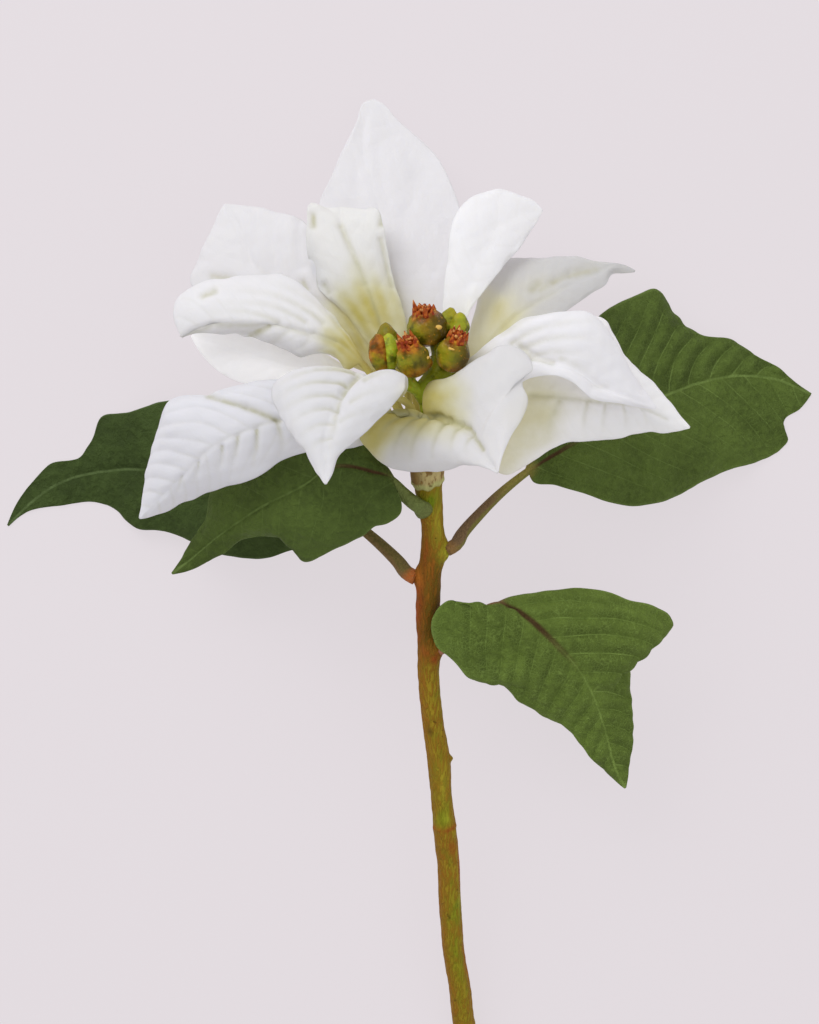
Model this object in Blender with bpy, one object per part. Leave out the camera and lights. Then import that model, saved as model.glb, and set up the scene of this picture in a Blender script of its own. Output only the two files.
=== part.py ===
"""A cut poinsettia stem with white bracts, laid on its back on a flat surface.

+Y runs up the stem to the bloom, +Z is up from the surface, and the origin is under the middle of the
bounding box. Lengths in the tables are millimetres; MM turns them into metres. Each leaf and each bract is
a thin blade on its own stalk. Its midrib and its two edges are smooth curves through a few points, and the
blade is stretched between them.
"""
from math import cos, pi, radians, sin

import bmesh
import bpy
import numpy as np

MM = 0.001

# The stem: how finely it is divided, and the length of the swellings that the leaves' stalks stand on
STEM_SIDES = 16
STEM_STEP = 3.0
KNUCKLE_LENGTH = 3.2
KNUCKLE_SHARPNESS = 4

# The blades: thickness of the sheet, how finely it is divided, and the stalk's radius at the stem and at the
# blade's foot. A lean of 1 sends the stalk off at 45 degrees up the stem, and 0 squarely.
KINDS = {
    "leaf": {"sheet": 0.7, "stations": 20, "cells": 8, "stalk": (2.4, 1.6), "lean": 1.0},
    "bract": {"sheet": 0.7, "stations": 14, "cells": 6, "stalk": (1.15, 1.15), "lean": 0.0},
}
STALK_GAP = 0.5
FIRST_STEP = 1.4
STALK_STATIONS = 4
TIP_RADIUS = 0.45
MIDRIB_WIDTH = 1.6
FOOT_SHARE = 0.1
STEADY_SHARE = (0.1, 0.93)
EDGE_ROUNDNESS = 0.08

# The cyathia and their stamens; a swell is the share of a half circle that a cup's side runs through
CUP_RINGS = 9
CUP_SIDES = 12
CUP_STALK_SIDES = 8
OPEN_SWELL = (0.12, 0.78)
CLOSED_SWELL = (0.1, 1.0)
SWELL_SQUARENESS = 0.65
NARROWEST = 0.2
CROWN_POINTS = 7
CROWN_RADIUS = 3.0
CROWN_HEIGHT = 3.4
CROWN_GAP = 0.35
CROWN_FOOT = 0.85
CROWN_LOW_POINT = 0.35
CROWN_DIP = 0.3

# Centre line of the stem from its head to the cut end: x, y, z and radius
STEM = [
    (5, 58, 52, 4.3),
    (5.5, 51, 52, 4.8),
    (5.5, 41.5, 51.5, 5.1),
    (6, 36.5, 50.5, 4.5),
    (6.5, 32, 49.5, 4.0),
    (7, 25.5, 48, 3.5),
    (7.5, 16, 45.5, 3.8),
    (6.5, 8, 43.5, 3.5),
    (6, 0, 41.5, 3.8),
    (6, -13, 38.3, 3.5),
    (6.5, -29.5, 34.3, 3.4),
    (7.5, -39, 32, 3.4),
    (9.5, -52, 29, 3.7),
    (10.5, -65.5, 26, 3.4),
    (11.5, -74.5, 23.5, 3.7),
    (13, -92, 19, 3.6),
    (13.5, -105.5, 15.8, 3.6),
    (15, -119, 12.5, 3.5),
    (17, -132.5, 9, 3.6),
    (18, -140.5, 6.5, 3.6),
    (20.5, -153, 4, 3.6),
    (23, -163.5, 3.5, 3.6),
]

BLADES = {
    "leaf_left_back": {
        "root": (7, 190),
        "knuckle": 2.2,
        "bow": 0.06,
        "stalk": [
            (-3.6, 12, 39.5), (-7, 15.4, 37.5), (-11, 19, 35.3),
        ],
        "midrib": [
            (-16, 23, 33), (-35.5, 30.5, 26), (-55.5, 36, 18), (-75.5, 40.5, 9), (-96, 42, 1.5),
            (-116, 37.5, 0), (-133, 23.5, 0),
        ],
        "left": [
            (-21, 20, 30), (-38, 16.5, 24), (-48, 13.5, 20), (-58.5, 14.5, 16), (-71, 18.5, 9),
            (-82.5, 22.5, 4), (-89, 23, 3), (-97.5, 29.5, 0), (-104, 31.5, 0), (-116, 30.5, 0),
            (-127.5, 28, 0),
        ],
        "right": [
            (-19, 30.5, 31), (-32, 45, 28), (-48.5, 58, 23), (-67, 64.5, 14), (-79.5, 64, 7),
            (-92.5, 60.5, 2), (-102, 59, 0), (-105, 52, 0), (-109, 46, 0), (-119, 43.5, 0),
            (-124, 38.5, 0), (-129, 32, 0),
        ],
    },
    "leaf_left_front": {
        "root": (28.3, 125),
        "knuckle": 0.8,
        "thick": (2.5, 1.9),
        "bow": 0.08,
        "stalk": [
            (1, 31.2, 54.2), (-2.2, 34, 54.7),
        ],
        "midrib": [
            (-6.2, 37.8, 57.2), (-14, 41.5, 58), (-23.5, 42.5, 57), (-34.5, 36, 53), (-47.5, 29.5, 46),
            (-61, 20.5, 37), (-72.5, 11.5, 28), (-77, 8, 26),
        ],
        "left": [
            (-2.2, 33.2, 58.2), (-2.2, 29.4, 57), (-6.5, 26, 54.5), (-11, 25.2, 52.4), (-15.5, 21.5, 50),
            (-22, 17.5, 48), (-28.5, 14.5, 45), (-35, 12.5, 42), (-38.5, 16, 42), (-41.5, 19, 42),
            (-47.5, 20, 40), (-54.5, 18.5, 36), (-61, 15, 32), (-69.5, 10, 28),
        ],
        "right": [
            (-7.5, 40, 56), (-12, 45, 55), (-18, 50, 53), (-25.5, 52, 51), (-36.5, 51, 48),
            (-47, 48, 44), (-56, 42, 39), (-63, 34.5, 35), (-66.5, 25.5, 32), (-71, 16.5, 28),
        ],
    },
    "leaf_right": {
        "root": (16, 0),
        "knuckle": 1.8,
        "thick": (2.2, 1.2),
        "bow": 0.08,
        "stalk": [
            (17, 21.2, 42.5), (22.5, 27.4, 41), (29.7, 34.4, 38.2),
        ],
        "midrib": [
            (38, 41, 35), (53.5, 50.5, 31), (68.5, 59.5, 24), (82.5, 65.5, 17), (95.5, 70.5, 10),
            (109, 73, 4), (121, 72, 0), (133, 67, 0),
        ],
        "left": [
            (39, 44, 35), (43.5, 51, 34), (48.5, 64, 32), (52.5, 79, 29), (59.5, 89, 24),
            (68.5, 96, 18), (75.5, 99, 14), (80.5, 100.5, 12), (83.5, 98.5, 10), (87.5, 93, 8),
            (92, 87.5, 6), (96, 85.5, 5), (102.5, 85, 3.5), (109.5, 83, 1), (116, 79, 0),
            (122, 75.5, 0), (126.5, 71.5, 0),
        ],
        "right": [
            (39, 39, 35), (47, 37.5, 33), (55, 35, 30), (63.5, 32, 26), (72, 30.5, 21), (82, 32, 16),
            (88.5, 34, 13), (95.5, 38, 10), (100.5, 40, 8), (107.5, 43, 5), (114.5, 45, 1.5),
            (122.5, 49, 0), (125, 52, 0), (124, 56, 0), (124.5, 59, 0), (129.5, 62.5, 0),
        ],
    },
    "leaf_lower": {
        "root": (-16, 20),
        "knuckle": 1.5,
        "thick": (1.8, 1.4),
        "bow": 0.05,
        "stalk": [
            (13.5, -13.5, 39.5), (20.5, -6, 43),
        ],
        "midrib": [
            (28, -2, 45), (35, -4, 48), (41.5, -9, 49), (48, -15.5, 48), (53, -21, 46), (58, -29, 42),
            (63, -42, 35), (67.5, -57, 28), (70, -61.5, 26),
        ],
        "left": [
            (30.5, -0.5, 45), (35.5, 1, 46), (41.5, 2, 46), (51.5, 3, 44), (59.5, 2.5, 42),
            (71, -1, 38), (79, -3, 35), (83.5, -5.5, 33), (85, -9, 32), (83.5, -11.5, 32),
            (77.5, -15, 33), (70, -17.5, 34), (71, -24.5, 33), (71, -32.5, 32), (71.5, -42.5, 30),
            (71, -55.5, 27),
        ],
        "right": [
            (22.5, -2.5, 47), (17.5, 0.5, 48), (13, 0.5, 48), (9, -3, 47), (7.5, -8, 46),
            (8.5, -13, 45), (14.5, -19, 44), (19.5, -24.5, 43), (23.5, -26.5, 42), (29, -27, 41),
            (35.5, -31.5, 39), (45, -38.5, 36), (52.5, -43, 34), (58.5, -50.5, 31), (63.5, -56, 28),
        ],
    },
    "bract_01": {
        "root": (54.5, 255),
        "bow": -0.06,
        "stalk": [
            (2.5, 62, 44),
        ],
        "midrib": [
            (0, 68.5, 43), (-2.5, 91.5, 38), (-5.5, 106, 33), (-8.5, 122, 27), (-13, 136, 20),
            (-15.5, 150, 12), (-11.5, 164, 6),
        ],
        "left": [
            (-4.5, 73.5, 43), (-12.5, 86.5, 38), (-22.5, 103, 33), (-28.5, 119.5, 27), (-29, 129.5, 22),
            (-26, 136.5, 19), (-22, 146.5, 14), (-17.5, 155.5, 9), (-14.5, 163, 6.5),
        ],
        "right": [
            (5, 76.5, 42), (11.5, 93, 38), (15.5, 109.5, 33), (16.5, 121, 28), (15.5, 127.5, 24),
            (13, 134.5, 20), (7.5, 145, 15), (0, 152.5, 11), (-5.5, 158, 9), (-8.5, 162, 7),
        ],
    },
    "bract_02": {
        "root": (56, 225),
        "bow": 0.08,
        "stalk": [
            (-0.5, 65, 49),
        ],
        "midrib": [
            (-4.5, 75, 48), (-12, 95.5, 46), (-16.5, 108, 44), (-20.5, 116, 41), (-22.5, 126, 36),
        ],
        "left": [
            (-10, 79.5, 47), (-20.5, 92.5, 44), (-29.5, 100.5, 42), (-33, 112, 40), (-32.5, 121, 38),
            (-31.5, 126.5, 36), (-27, 126, 35),
        ],
        "right": [
            (-1.5, 83, 48), (-2.5, 91, 46), (-5, 100.5, 44), (-6.5, 108.5, 43), (-8, 115, 42),
            (-9, 120, 41), (-10.5, 124, 39), (-16, 125.5, 37),
        ],
    },
    "bract_03": {
        "root": (50.5, 205),
        "bow": 0.06,
        "stalk": [
            (-3, 60.5, 47),
        ],
        "midrib": [
            (-11, 72.5, 45), (-25.5, 93.5, 42), (-38.5, 101, 39), (-49, 106.5, 35), (-53, 114.5, 31),
            (-57.5, 124.5, 26), (-60, 128, 24),
        ],
        "left": [
            (-17.5, 75.5, 43), (-32, 84, 38), (-48, 90.5, 34), (-63, 96.5, 32), (-70.5, 102.5, 29),
            (-68, 110.5, 28), (-64, 119, 26), (-62, 124.5, 25),
        ],
        "right": [
            (-12, 83, 45), (-20.5, 99, 42), (-29.5, 112, 38), (-35.5, 122.5, 34), (-40, 124, 32),
            (-45, 125.5, 30), (-51.5, 127, 27), (-56, 127.5, 25),
        ],
    },
    "bract_04": {
        "root": (53.5, 170),
        "bow": 0.1,
        "stalk": [
            (-4.5, 62, 54), (-10.5, 69.5, 56),
        ],
        "midrib": [
            (-15.5, 75.5, 57), (-22.5, 81.5, 59), (-31.5, 84.5, 60), (-42.5, 87, 60), (-53.5, 88, 58),
            (-66.5, 86.5, 54), (-72.5, 83.5, 51),
        ],
        "left": [
            (-19, 74, 56), (-23.5, 78.5, 56), (-31, 78.5, 56), (-34.5, 77, 55), (-39.5, 80.5, 54),
            (-47, 83, 52), (-55.5, 85, 51), (-65, 85, 51),
        ],
        "right": [
            (-19, 81, 57), (-26, 91.5, 56), (-33, 99, 54), (-41, 103, 52), (-47.5, 103, 51),
            (-55.5, 102, 50), (-65, 101, 49), (-70, 98.5, 49), (-73.5, 95.5, 49), (-74.5, 89.5, 50),
        ],
    },
    "bract_05": {
        "root": (46, 185),
        "bow": 0.08,
        "stalk": [
            (-2.5, 54, 51.5),
        ],
        "midrib": [
            (-7, 59, 51), (-22, 67.5, 49), (-38, 74.5, 46), (-54.5, 80, 42), (-70, 84.5, 38),
        ],
        "left": [
            (-10, 57, 50.5), (-22, 62, 48), (-38, 66.5, 46), (-48, 68.5, 44), (-56, 70.5, 42),
            (-60.5, 73, 41), (-65.5, 77.5, 40),
        ],
        "right": [
            (-10, 63.5, 50.5), (-22, 74.5, 48), (-38, 83.5, 44.5), (-54.5, 88, 41), (-65.5, 88.5, 38.5),
        ],
    },
    "bract_06": {
        "root": (44, 150),
        "bow": 0.08,
        "stalk": [
            (-1.5, 52.5, 55.5),
        ],
        "midrib": [
            (-5.5, 56.5, 57.5), (-22, 58.5, 63), (-40.5, 57, 66), (-51.5, 53.5, 66), (-62, 48.5, 64),
            (-70, 41, 60), (-79.5, 32, 53), (-86, 26, 48),
        ],
        "left": [
            (-8, 52.5, 57.5), (-19, 49, 60), (-32.5, 47, 62), (-41, 44, 61), (-47, 40.5, 60),
            (-53.5, 38, 58), (-61.5, 35.5, 55), (-73, 30.5, 50), (-80, 27.5, 48),
        ],
        "right": [
            (-8, 61, 57), (-19, 66, 58.5), (-31.5, 69, 60), (-43, 69.5, 61), (-50.5, 68.5, 60),
            (-58, 66.5, 59), (-64, 64.5, 58), (-70.5, 64.5, 56), (-76.5, 62.5, 55), (-79, 55.5, 53),
            (-83, 45, 51), (-84.5, 32, 48),
        ],
    },
    "bract_07": {
        "root": (55.5, 120),
        "bow": 0.2,
        "stalk": [
            (0.5, 61, 59),
        ],
        "midrib": [
            (-3.5, 64, 64), (-8.5, 68.5, 69), (-13.5, 70.5, 75), (-18.5, 68, 82), (-22, 63, 88),
            (-25, 56, 93), (-25.5, 36.5, 101),
        ],
        "left": [
            (-2.5, 64.5, 68), (-1, 67, 74), (-1.5, 70, 79), (-2.5, 65.5, 84), (-6, 60.5, 88),
            (-14.5, 52, 93), (-22, 45, 97), (-24, 39, 100),
        ],
        "right": [
            (-9, 66.5, 67), (-20, 69.5, 68), (-31, 72, 70), (-39.5, 70.5, 73), (-42, 66.5, 77),
            (-40.5, 59.5, 82), (-37, 53.5, 88), (-30, 44, 95), (-27.5, 39.5, 98),
        ],
    },
    "bract_08": {
        "root": (49, 75),
        "bow": 0.12,
        "stalk": [
            (5, 53, 61),
        ],
        "midrib": [
            (5.5, 56.5, 63), (11.5, 56, 68), (16, 54, 73), (19, 51.5, 78), (22, 47, 85), (27, 40, 95),
        ],
        "left": [
            (4.5, 63, 62.5), (6, 67.5, 64), (12.5, 70, 68), (21.5, 75.5, 72), (29.5, 79.5, 75),
            (35.5, 77.5, 77), (38, 72, 79), (35, 68, 80), (36.5, 62.5, 82), (34.5, 56.5, 85),
            (31, 51, 88), (28.5, 45.5, 92),
        ],
        "right": [
            (-1, 57.5, 64), (-7, 60.5, 64), (-11, 57, 64), (-15, 52, 64), (-12, 47.5, 65),
            (-6, 42.5, 66), (0.5, 41, 68), (10.5, 41, 72), (17.5, 42.5, 80), (21.5, 42.5, 87),
        ],
    },
    "bract_09": {
        "root": (43.5, 0),
        "bow": 0.08,
        "stalk": [
            (13, 49.5, 52.5),
        ],
        "midrib": [
            (16, 56, 55), (28.5, 62, 56), (39.5, 64.5, 56), (52, 64.5, 55), (57, 63, 54),
            (68.5, 60.5, 52), (75, 60, 50), (81.5, 58, 48), (89.5, 55, 45),
        ],
        "left": [
            (17.5, 62, 53), (28.5, 72.5, 52), (41.5, 81, 51), (52.5, 87.5, 49), (60, 89.5, 47),
            (69.5, 77, 46), (80, 66, 45), (86.5, 58, 45),
        ],
        "right": [
            (19, 49, 55), (25.5, 42.5, 54), (30.5, 40.5, 53), (36.5, 43, 52), (41.5, 46, 51),
            (48.5, 50.5, 50), (60.5, 51, 49), (73.5, 53.5, 47), (83, 54, 45),
        ],
    },
    "bract_10": {
        "root": (54, 35),
        "bow": 0.1,
        "stalk": [
            (11, 59.5, 57),
        ],
        "midrib": [
            (15.5, 66, 60), (25.5, 74, 63), (34, 79, 65), (42.5, 75.5, 66), (50.5, 73, 66),
            (60, 67.5, 63), (69.5, 64, 60), (78, 61, 56),
        ],
        "left": [
            (15.5, 70.5, 59), (21.5, 77.5, 61), (28.5, 83.5, 63), (35.5, 88.5, 64), (47.5, 90.5, 63),
            (56, 90.5, 61), (60, 88, 60), (65, 80.5, 59), (69.5, 73, 58), (75, 65.5, 56),
        ],
        "right": [
            (22, 66, 62), (30, 67, 65), (38.5, 70.5, 68), (46.5, 71, 68), (50.5, 69.5, 68),
            (57.5, 64, 66), (66.5, 62.5, 62), (74.5, 61, 57),
        ],
    },
    "bract_11": {
        "root": (48.5, 345),
        "bow": 0.06,
        "stalk": [
            (13, 57.5, 48),
        ],
        "midrib": [
            (17, 65.5, 46), (25.5, 81.5, 43), (35.5, 92, 40), (43.5, 97, 38), (53.5, 102.5, 35),
            (61.5, 106, 32), (65.5, 108, 31), (73, 106, 27),
        ],
        "left": [
            (17, 73.5, 44), (21, 89.5, 38), (24.5, 103, 33), (29.5, 108.5, 30), (39, 109.5, 29),
            (52, 110, 29), (61.5, 109, 30), (68, 108.5, 29),
        ],
        "right": [
            (25.5, 75, 46), (35.5, 83, 44), (45, 89, 41), (54, 95.5, 37), (59, 99, 35), (63, 101.5, 33),
            (65.5, 105, 31), (69.5, 105.5, 29),
        ],
    },
    "bract_12": {
        "root": (55.5, 315),
        "bow": 0.08,
        "stalk": [
            (11.5, 63.5, 48),
        ],
        "midrib": [
            (14, 70.5, 48), (17, 89.5, 46), (22, 105.5, 43), (29.5, 118.5, 37), (43, 125.5, 30),
        ],
        "left": [
            (12, 79.5, 47), (11.5, 92.5, 45), (12.5, 105.5, 42), (13.5, 115, 40), (15.5, 123.5, 37),
            (19.5, 128.5, 35), (22.5, 130, 34), (29, 131.5, 32), (35.5, 130, 31), (40.5, 128, 30),
        ],
        "right": [
            (16.5, 79.5, 48), (18.5, 91, 47), (24, 99, 44), (29, 105.5, 40), (37, 115.5, 34),
            (40.5, 121.5, 31),
        ],
    },
}

# Cyathia, the small cups that are the true flowers: where each stands, where it opens and its radius
CUPS = {
    "top": {"foot": (6.2, 81.5, 58.5), "mouth": (4.7, 91, 63), "radius": 6.4, "open": True},
    "left": {"foot": (-7, 73, 61), "mouth": (-8.5, 86, 62.5), "radius": 4.8, "open": False},
    "front": {"foot": (2.5, 71.5, 65), "mouth": (-0.5, 80.5, 70), "radius": 5.5, "open": True},
    "right": {"foot": (12.5, 73.5, 61.5), "mouth": (15, 82.5, 67.5), "radius": 5.2, "open": True},
    "back": {"foot": (13, 81, 56.5), "mouth": (14.5, 92, 59), "radius": 4.4, "open": False},
}

# Stalks of the cyathia, the first of them standing on the head of the stem: x, y, z and radius
CUP_STALKS = [
    [
        (4.5, 59, 53.5, 0.9), (4, 62.5, 54.5, 1.1), (3.5, 66, 56, 2.4), (5.5, 69, 57.5, 2.4),
        (8.5, 73, 59, 2.6), (9.5, 78, 60, 2.6), (8, 83, 60, 2.4),
    ],
    [(5, 68, 57, 2.2), (8.5, 71, 59, 2.2), (12, 72.5, 60.5, 2.3), (13.5, 75, 61.5, 2.5)],
    [(3, 66.5, 57, 1.9), (0.5, 69, 60, 1.7), (-0.5, 71.5, 63, 1.7), (1, 74, 65.5, 2.2)],
    [(2.5, 66.5, 57, 1.8), (-1.5, 68.5, 60, 1.6), (-5.5, 71.5, 61, 1.7), (-7, 74.5, 61, 2)],
    [(8, 75.5, 59, 2.2), (11, 78.5, 58.5, 2.2), (13.5, 82, 57.5, 2.4)],
]


def chord(points):
    """Distance along the chain of points, from 0 to 1."""
    steps = np.linalg.norm(np.diff(points, axis=0), axis=1)
    along = np.concatenate([[0.0], np.cumsum(steps)])
    return along / along[-1]


def smooth(points, where):
    """Reads a smooth curve through the points, by cubic pieces whose slopes come from the neighbours."""
    points = np.asarray(points, float)
    where = np.asarray(where, float)
    knots = chord(points[:, :3])
    spans = np.diff(knots)[:, None]
    slopes = np.diff(points, axis=0) / spans
    tangents = np.empty_like(points)
    tangents[1:-1] = (slopes[:-1] * spans[1:] + slopes[1:] * spans[:-1]) / (spans[1:] + spans[:-1])
    tangents[0] = 1.5 * slopes[0] - 0.5 * tangents[1]
    tangents[-1] = 1.5 * slopes[-1] - 0.5 * tangents[-2]
    piece = np.clip(np.searchsorted(knots, where, side="right") - 1, 0, len(points) - 2)
    span = spans[piece]
    t = ((where - knots[piece]) / span[:, 0])[:, None]
    start = (2 * t**3 - 3 * t**2 + 1) * points[piece] + (t**3 - 2 * t**2 + t) * span * tangents[piece]
    end = (3 * t**2 - 2 * t**3) * points[piece + 1] + (t**3 - t**2) * span * tangents[piece + 1]
    return start + end


def unit(vectors):
    return vectors / np.maximum(np.linalg.norm(vectors, axis=-1, keepdims=True), 1e-9)


def ease(value):
    """Rises smoothly from 0 to 1."""
    value = np.clip(value, 0, 1)
    return value * value * (3 - 2 * value)


def stem_at(height):
    """Centre and radius of the stem where its centre line has this y."""
    rows = np.array(STEM)[::-1]
    return np.array([np.interp(height, rows[:, 1], rows[:, column]) for column in (0, 1, 2, 3)])


def root_of(blade):
    """Where the stalk starts, clear of the stem and of its swelling, and the way out of the stem there."""
    height, turn = blade["root"]
    x, y, z, radius = stem_at(height)
    outward = np.array([cos(radians(turn)), 0.0, sin(radians(turn))])
    return np.array([x, y, z]) + outward * (radius + blade.get("knuckle", 0.0) + STALK_GAP), outward


def stalk_line(blade, kind):
    """Points from the stem's surface to the foot of the blade."""
    root, outward = root_of(blade)
    first = unit(outward + np.array([0.0, kind["lean"], 0.0]))
    return np.array([root, root + first * FIRST_STEP, *blade["stalk"], blade["midrib"][0]])


def blade_sheet(blade, kind):
    """Middle surface of a leaf or bract with its stalk, the half thickness on both sides, and its run."""
    rib_points = blade["midrib"]
    tip = rib_points[-1]
    line = np.vstack([stalk_line(blade, kind), rib_points[1:]])
    knots = chord(line)
    foot = knots[len(line) - len(rib_points)]
    along = np.linspace(0, 1, kind["stations"])
    stalk_where = np.concatenate([[0.0], np.linspace(knots[1], foot, STALK_STATIONS)[:-1]])
    where = np.concatenate([stalk_where, foot + (1 - foot) * along])
    v = np.concatenate([np.zeros(STALK_STATIONS), along])
    rib = smooth(line, where)
    run = unit(np.gradient(rib, axis=0))
    run[:2] = unit(rib[1] - rib[0])

    # the edges are read as steps away from the midrib, and the blade's way across is kept steady at its ends
    left_points = [rib_points[0], *blade["left"], tip]
    right_points = [rib_points[0], *blade["right"], tip]
    left = smooth(left_points, v) - smooth(rib_points, v)
    right = smooth(right_points, v) - smooth(rib_points, v)
    steady = np.clip(v, *STEADY_SHARE)
    across = smooth(left_points, steady) - smooth(right_points, steady)
    across = unit(across - run * (across * run).sum(1)[:, None])

    at_stem, at_foot = blade.get("thick", kind["stalk"])
    stalk = at_foot + (at_stem - at_foot) * np.clip(1 - where / foot, 0, 1)
    least = (TIP_RADIUS + (stalk - TIP_RADIUS) * (1 - v) ** 3)[:, None]
    s = np.linspace(-1, 1, kind["cells"] + 1)
    sheet = np.empty((len(v), len(s), 3))
    for column, side in enumerate(s):
        edge = left if side < 0 else right
        sign = 1 if side < 0 else -1
        outward = across * sign
        reach = abs(side)
        facing = unit(np.cross(run, edge + outward * TIP_RADIUS) * sign)
        bulge = blade["bow"] * 4 * reach * (1 - reach) * np.linalg.norm(edge, axis=1)[:, None]
        sheet[:, column] = rib + reach * (edge + outward * least) + facing * bulge

    # the round stalk eases into the thin sheet, and its ridge runs on under the midrib and fades
    half_sheet = kind["sheet"] / 2
    blend = ease(v / FOOT_SHARE)[:, None]
    round_half = stalk[:, None] * np.sqrt(np.clip(1 - s**2, EDGE_ROUNDNESS, 1))
    distance = np.linalg.norm(sheet - rib[:, None], axis=2)
    ridge = (stalk[:, None] - half_sheet) * (1 - v)[:, None] * np.exp(-((distance / MIDRIB_WIDTH) ** 2))
    above = (1 - blend) * round_half + blend * half_sheet
    below = (1 - blend) * round_half + blend * (half_sheet + ridge)
    return sheet, above, below, run


def facings(sheet):
    """Unit vector square to the sheet at each of its points, on the side of the upper face."""
    return unit(np.cross(np.gradient(sheet, axis=1), np.gradient(sheet, axis=0)))


def blade_solid(blade, kind):
    """Closes the sheet into a thin solid. What would sink into the surface it lies on is pressed flat."""
    sheet, above, below, run = blade_sheet(blade, kind)
    normal = facings(sheet)
    top = sheet + normal * above[..., None]
    bottom = sheet - normal * below[..., None]

    # the stalk's end is cut along the stem's surface
    root, outward = root_of(blade)
    for face in (top, bottom):
        off = (face[0] - root) @ outward
        face[0] -= run[0] * (off / (run[0] @ outward))[:, None]
    bottom[..., 2] = np.maximum(bottom[..., 2], 0.0)
    top[..., 2] = np.maximum(top[..., 2], kind["sheet"])

    rows, columns = sheet.shape[:2]
    grid = np.arange(rows * columns).reshape(rows, columns)
    under = grid + rows * columns
    faces = []
    for r in range(rows - 1):
        for c in range(columns - 1):
            a, b, d, e = grid[r, c], grid[r, c + 1], grid[r + 1, c + 1], grid[r + 1, c]
            faces += [(a, b, d), (a, d, e)]
            a, b, d, e = under[r, c], under[r, c + 1], under[r + 1, c + 1], under[r + 1, c]
            faces += [(a, d, b), (a, e, d)]
    for r in range(rows - 1):
        for c in (0, columns - 1):
            faces.append((grid[r, c], grid[r + 1, c], under[r + 1, c], under[r, c]))
    for c in range(columns - 1):
        for r in (0, rows - 1):
            faces.append((grid[r, c], grid[r, c + 1], under[r, c + 1], under[r, c]))
    return np.concatenate([top.reshape(-1, 3), bottom.reshape(-1, 3)]), faces


def tube(line, radii):
    """Tube with flat ends along a line of points, with a radius for each ring and each place round it."""
    rings, sides = radii.shape
    run = unit(np.gradient(line, axis=0))
    up = np.array([0.0, 0.0, 1.0])
    if abs(run[0] @ up) > 0.8:
        up = np.array([0.0, 1.0, 0.0])
    first = unit(np.cross(run, up))
    second = np.cross(run, first)
    turns = np.arange(sides) * 2 * pi / sides
    ring = first[:, None] * np.cos(turns)[None, :, None] + second[:, None] * np.sin(turns)[None, :, None]
    points = line[:, None] + ring * radii[..., None]
    faces = [
        (r * sides + c, r * sides + (c + 1) % sides, (r + 1) * sides + (c + 1) % sides, (r + 1) * sides + c)
        for r in range(rings - 1)
        for c in range(sides)
    ]
    faces.append(tuple(range(sides)))
    faces.append(tuple((rings - 1) * sides + c for c in range(sides)))
    return points.reshape(-1, 3), faces


def cup_solid(cup):
    """One cyathium: an urn turned about the line from its foot to its mouth; a closed one ends bluntly."""
    foot, mouth = np.array(cup["foot"]), np.array(cup["mouth"])
    along = np.linspace(0, 1, CUP_RINGS)
    start, end = OPEN_SWELL if cup["open"] else CLOSED_SWELL
    swell = np.clip(np.sin(pi * (start + (end - start) * along)), 0, 1) ** SWELL_SQUARENESS
    radii = cup["radius"] * np.maximum(swell, NARROWEST)
    return tube(foot + (mouth - foot) * along[:, None], radii[:, None] + np.zeros(CUP_SIDES))


def cup_stalk_solid(stalk):
    """A stalk of the cyathia, through the centres and radii of its table."""
    rows = smooth(stalk, np.linspace(0, 1, 2 * len(stalk)))
    return tube(rows[:, :3], rows[:, 3:] + np.zeros(CUP_STALK_SIDES))


def crown_solid(cup):
    """Tuft of stamens over an open cup: a ring of points, high and low by turns, on a flat foot."""
    foot, mouth = np.array(cup["foot"]), np.array(cup["mouth"])
    axis = unit(mouth - foot)
    first = unit(np.cross(axis, [0.0, 0.0, 1.0]))
    second = np.cross(axis, first)
    count = 2 * CROWN_POINTS
    turns = (np.arange(count) * 2 * pi / count)[:, None]
    around = (first * np.cos(turns) + second * np.sin(turns)) * CROWN_RADIUS
    heights = np.where(np.arange(count) % 2 == 0, CROWN_HEIGHT, CROWN_HEIGHT * CROWN_LOW_POINT)[:, None]
    base = mouth + axis * CROWN_GAP + around * CROWN_FOOT
    tips = mouth + axis * (CROWN_GAP + heights) + around
    centre = mouth + axis * (CROWN_GAP + CROWN_HEIGHT * CROWN_DIP)
    faces = [tuple(range(count))]
    for k in range(count):
        n = (k + 1) % count
        faces += [(k, n, count + n), (k, count + n, count + k), (count + k, count + n, 2 * count)]
    return np.vstack([base, tips, centre]), faces


def stem_solid():
    """The stem, a little lumpy: it swells where each leaf's stalk leaves it."""
    rows = np.array(STEM)
    length = np.linalg.norm(np.diff(rows[:, :3], axis=0), axis=1).sum()
    line = smooth(rows, np.linspace(0, 1, int(length / STEM_STEP)))
    radii = line[:, 3:] + np.zeros(STEM_SIDES)
    turns = np.arange(STEM_SIDES) * 2 * pi / STEM_SIDES + pi
    for blade in BLADES.values():
        height, turn = blade["root"]
        rise = blade.get("knuckle", 0.0)
        lengthwise = np.exp(-(((line[:, 1:2] - height) / KNUCKLE_LENGTH) ** 2))
        radii = radii + rise * lengthwise * np.clip(np.cos(turns - radians(turn)), 0, 1) ** KNUCKLE_SHARPNESS
    points, faces = tube(line[:, :3], radii)
    points[:, 2] = np.maximum(points[:, 2], 0.0)
    return points, faces


def material(name, colour, roughness):
    made = bpy.data.materials.new(name)
    made.use_nodes = True
    surface = made.node_tree.nodes["Principled BSDF"]
    surface.inputs["Base Color"].default_value = (*colour, 1.0)
    surface.inputs["Roughness"].default_value = roughness
    return made


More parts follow.
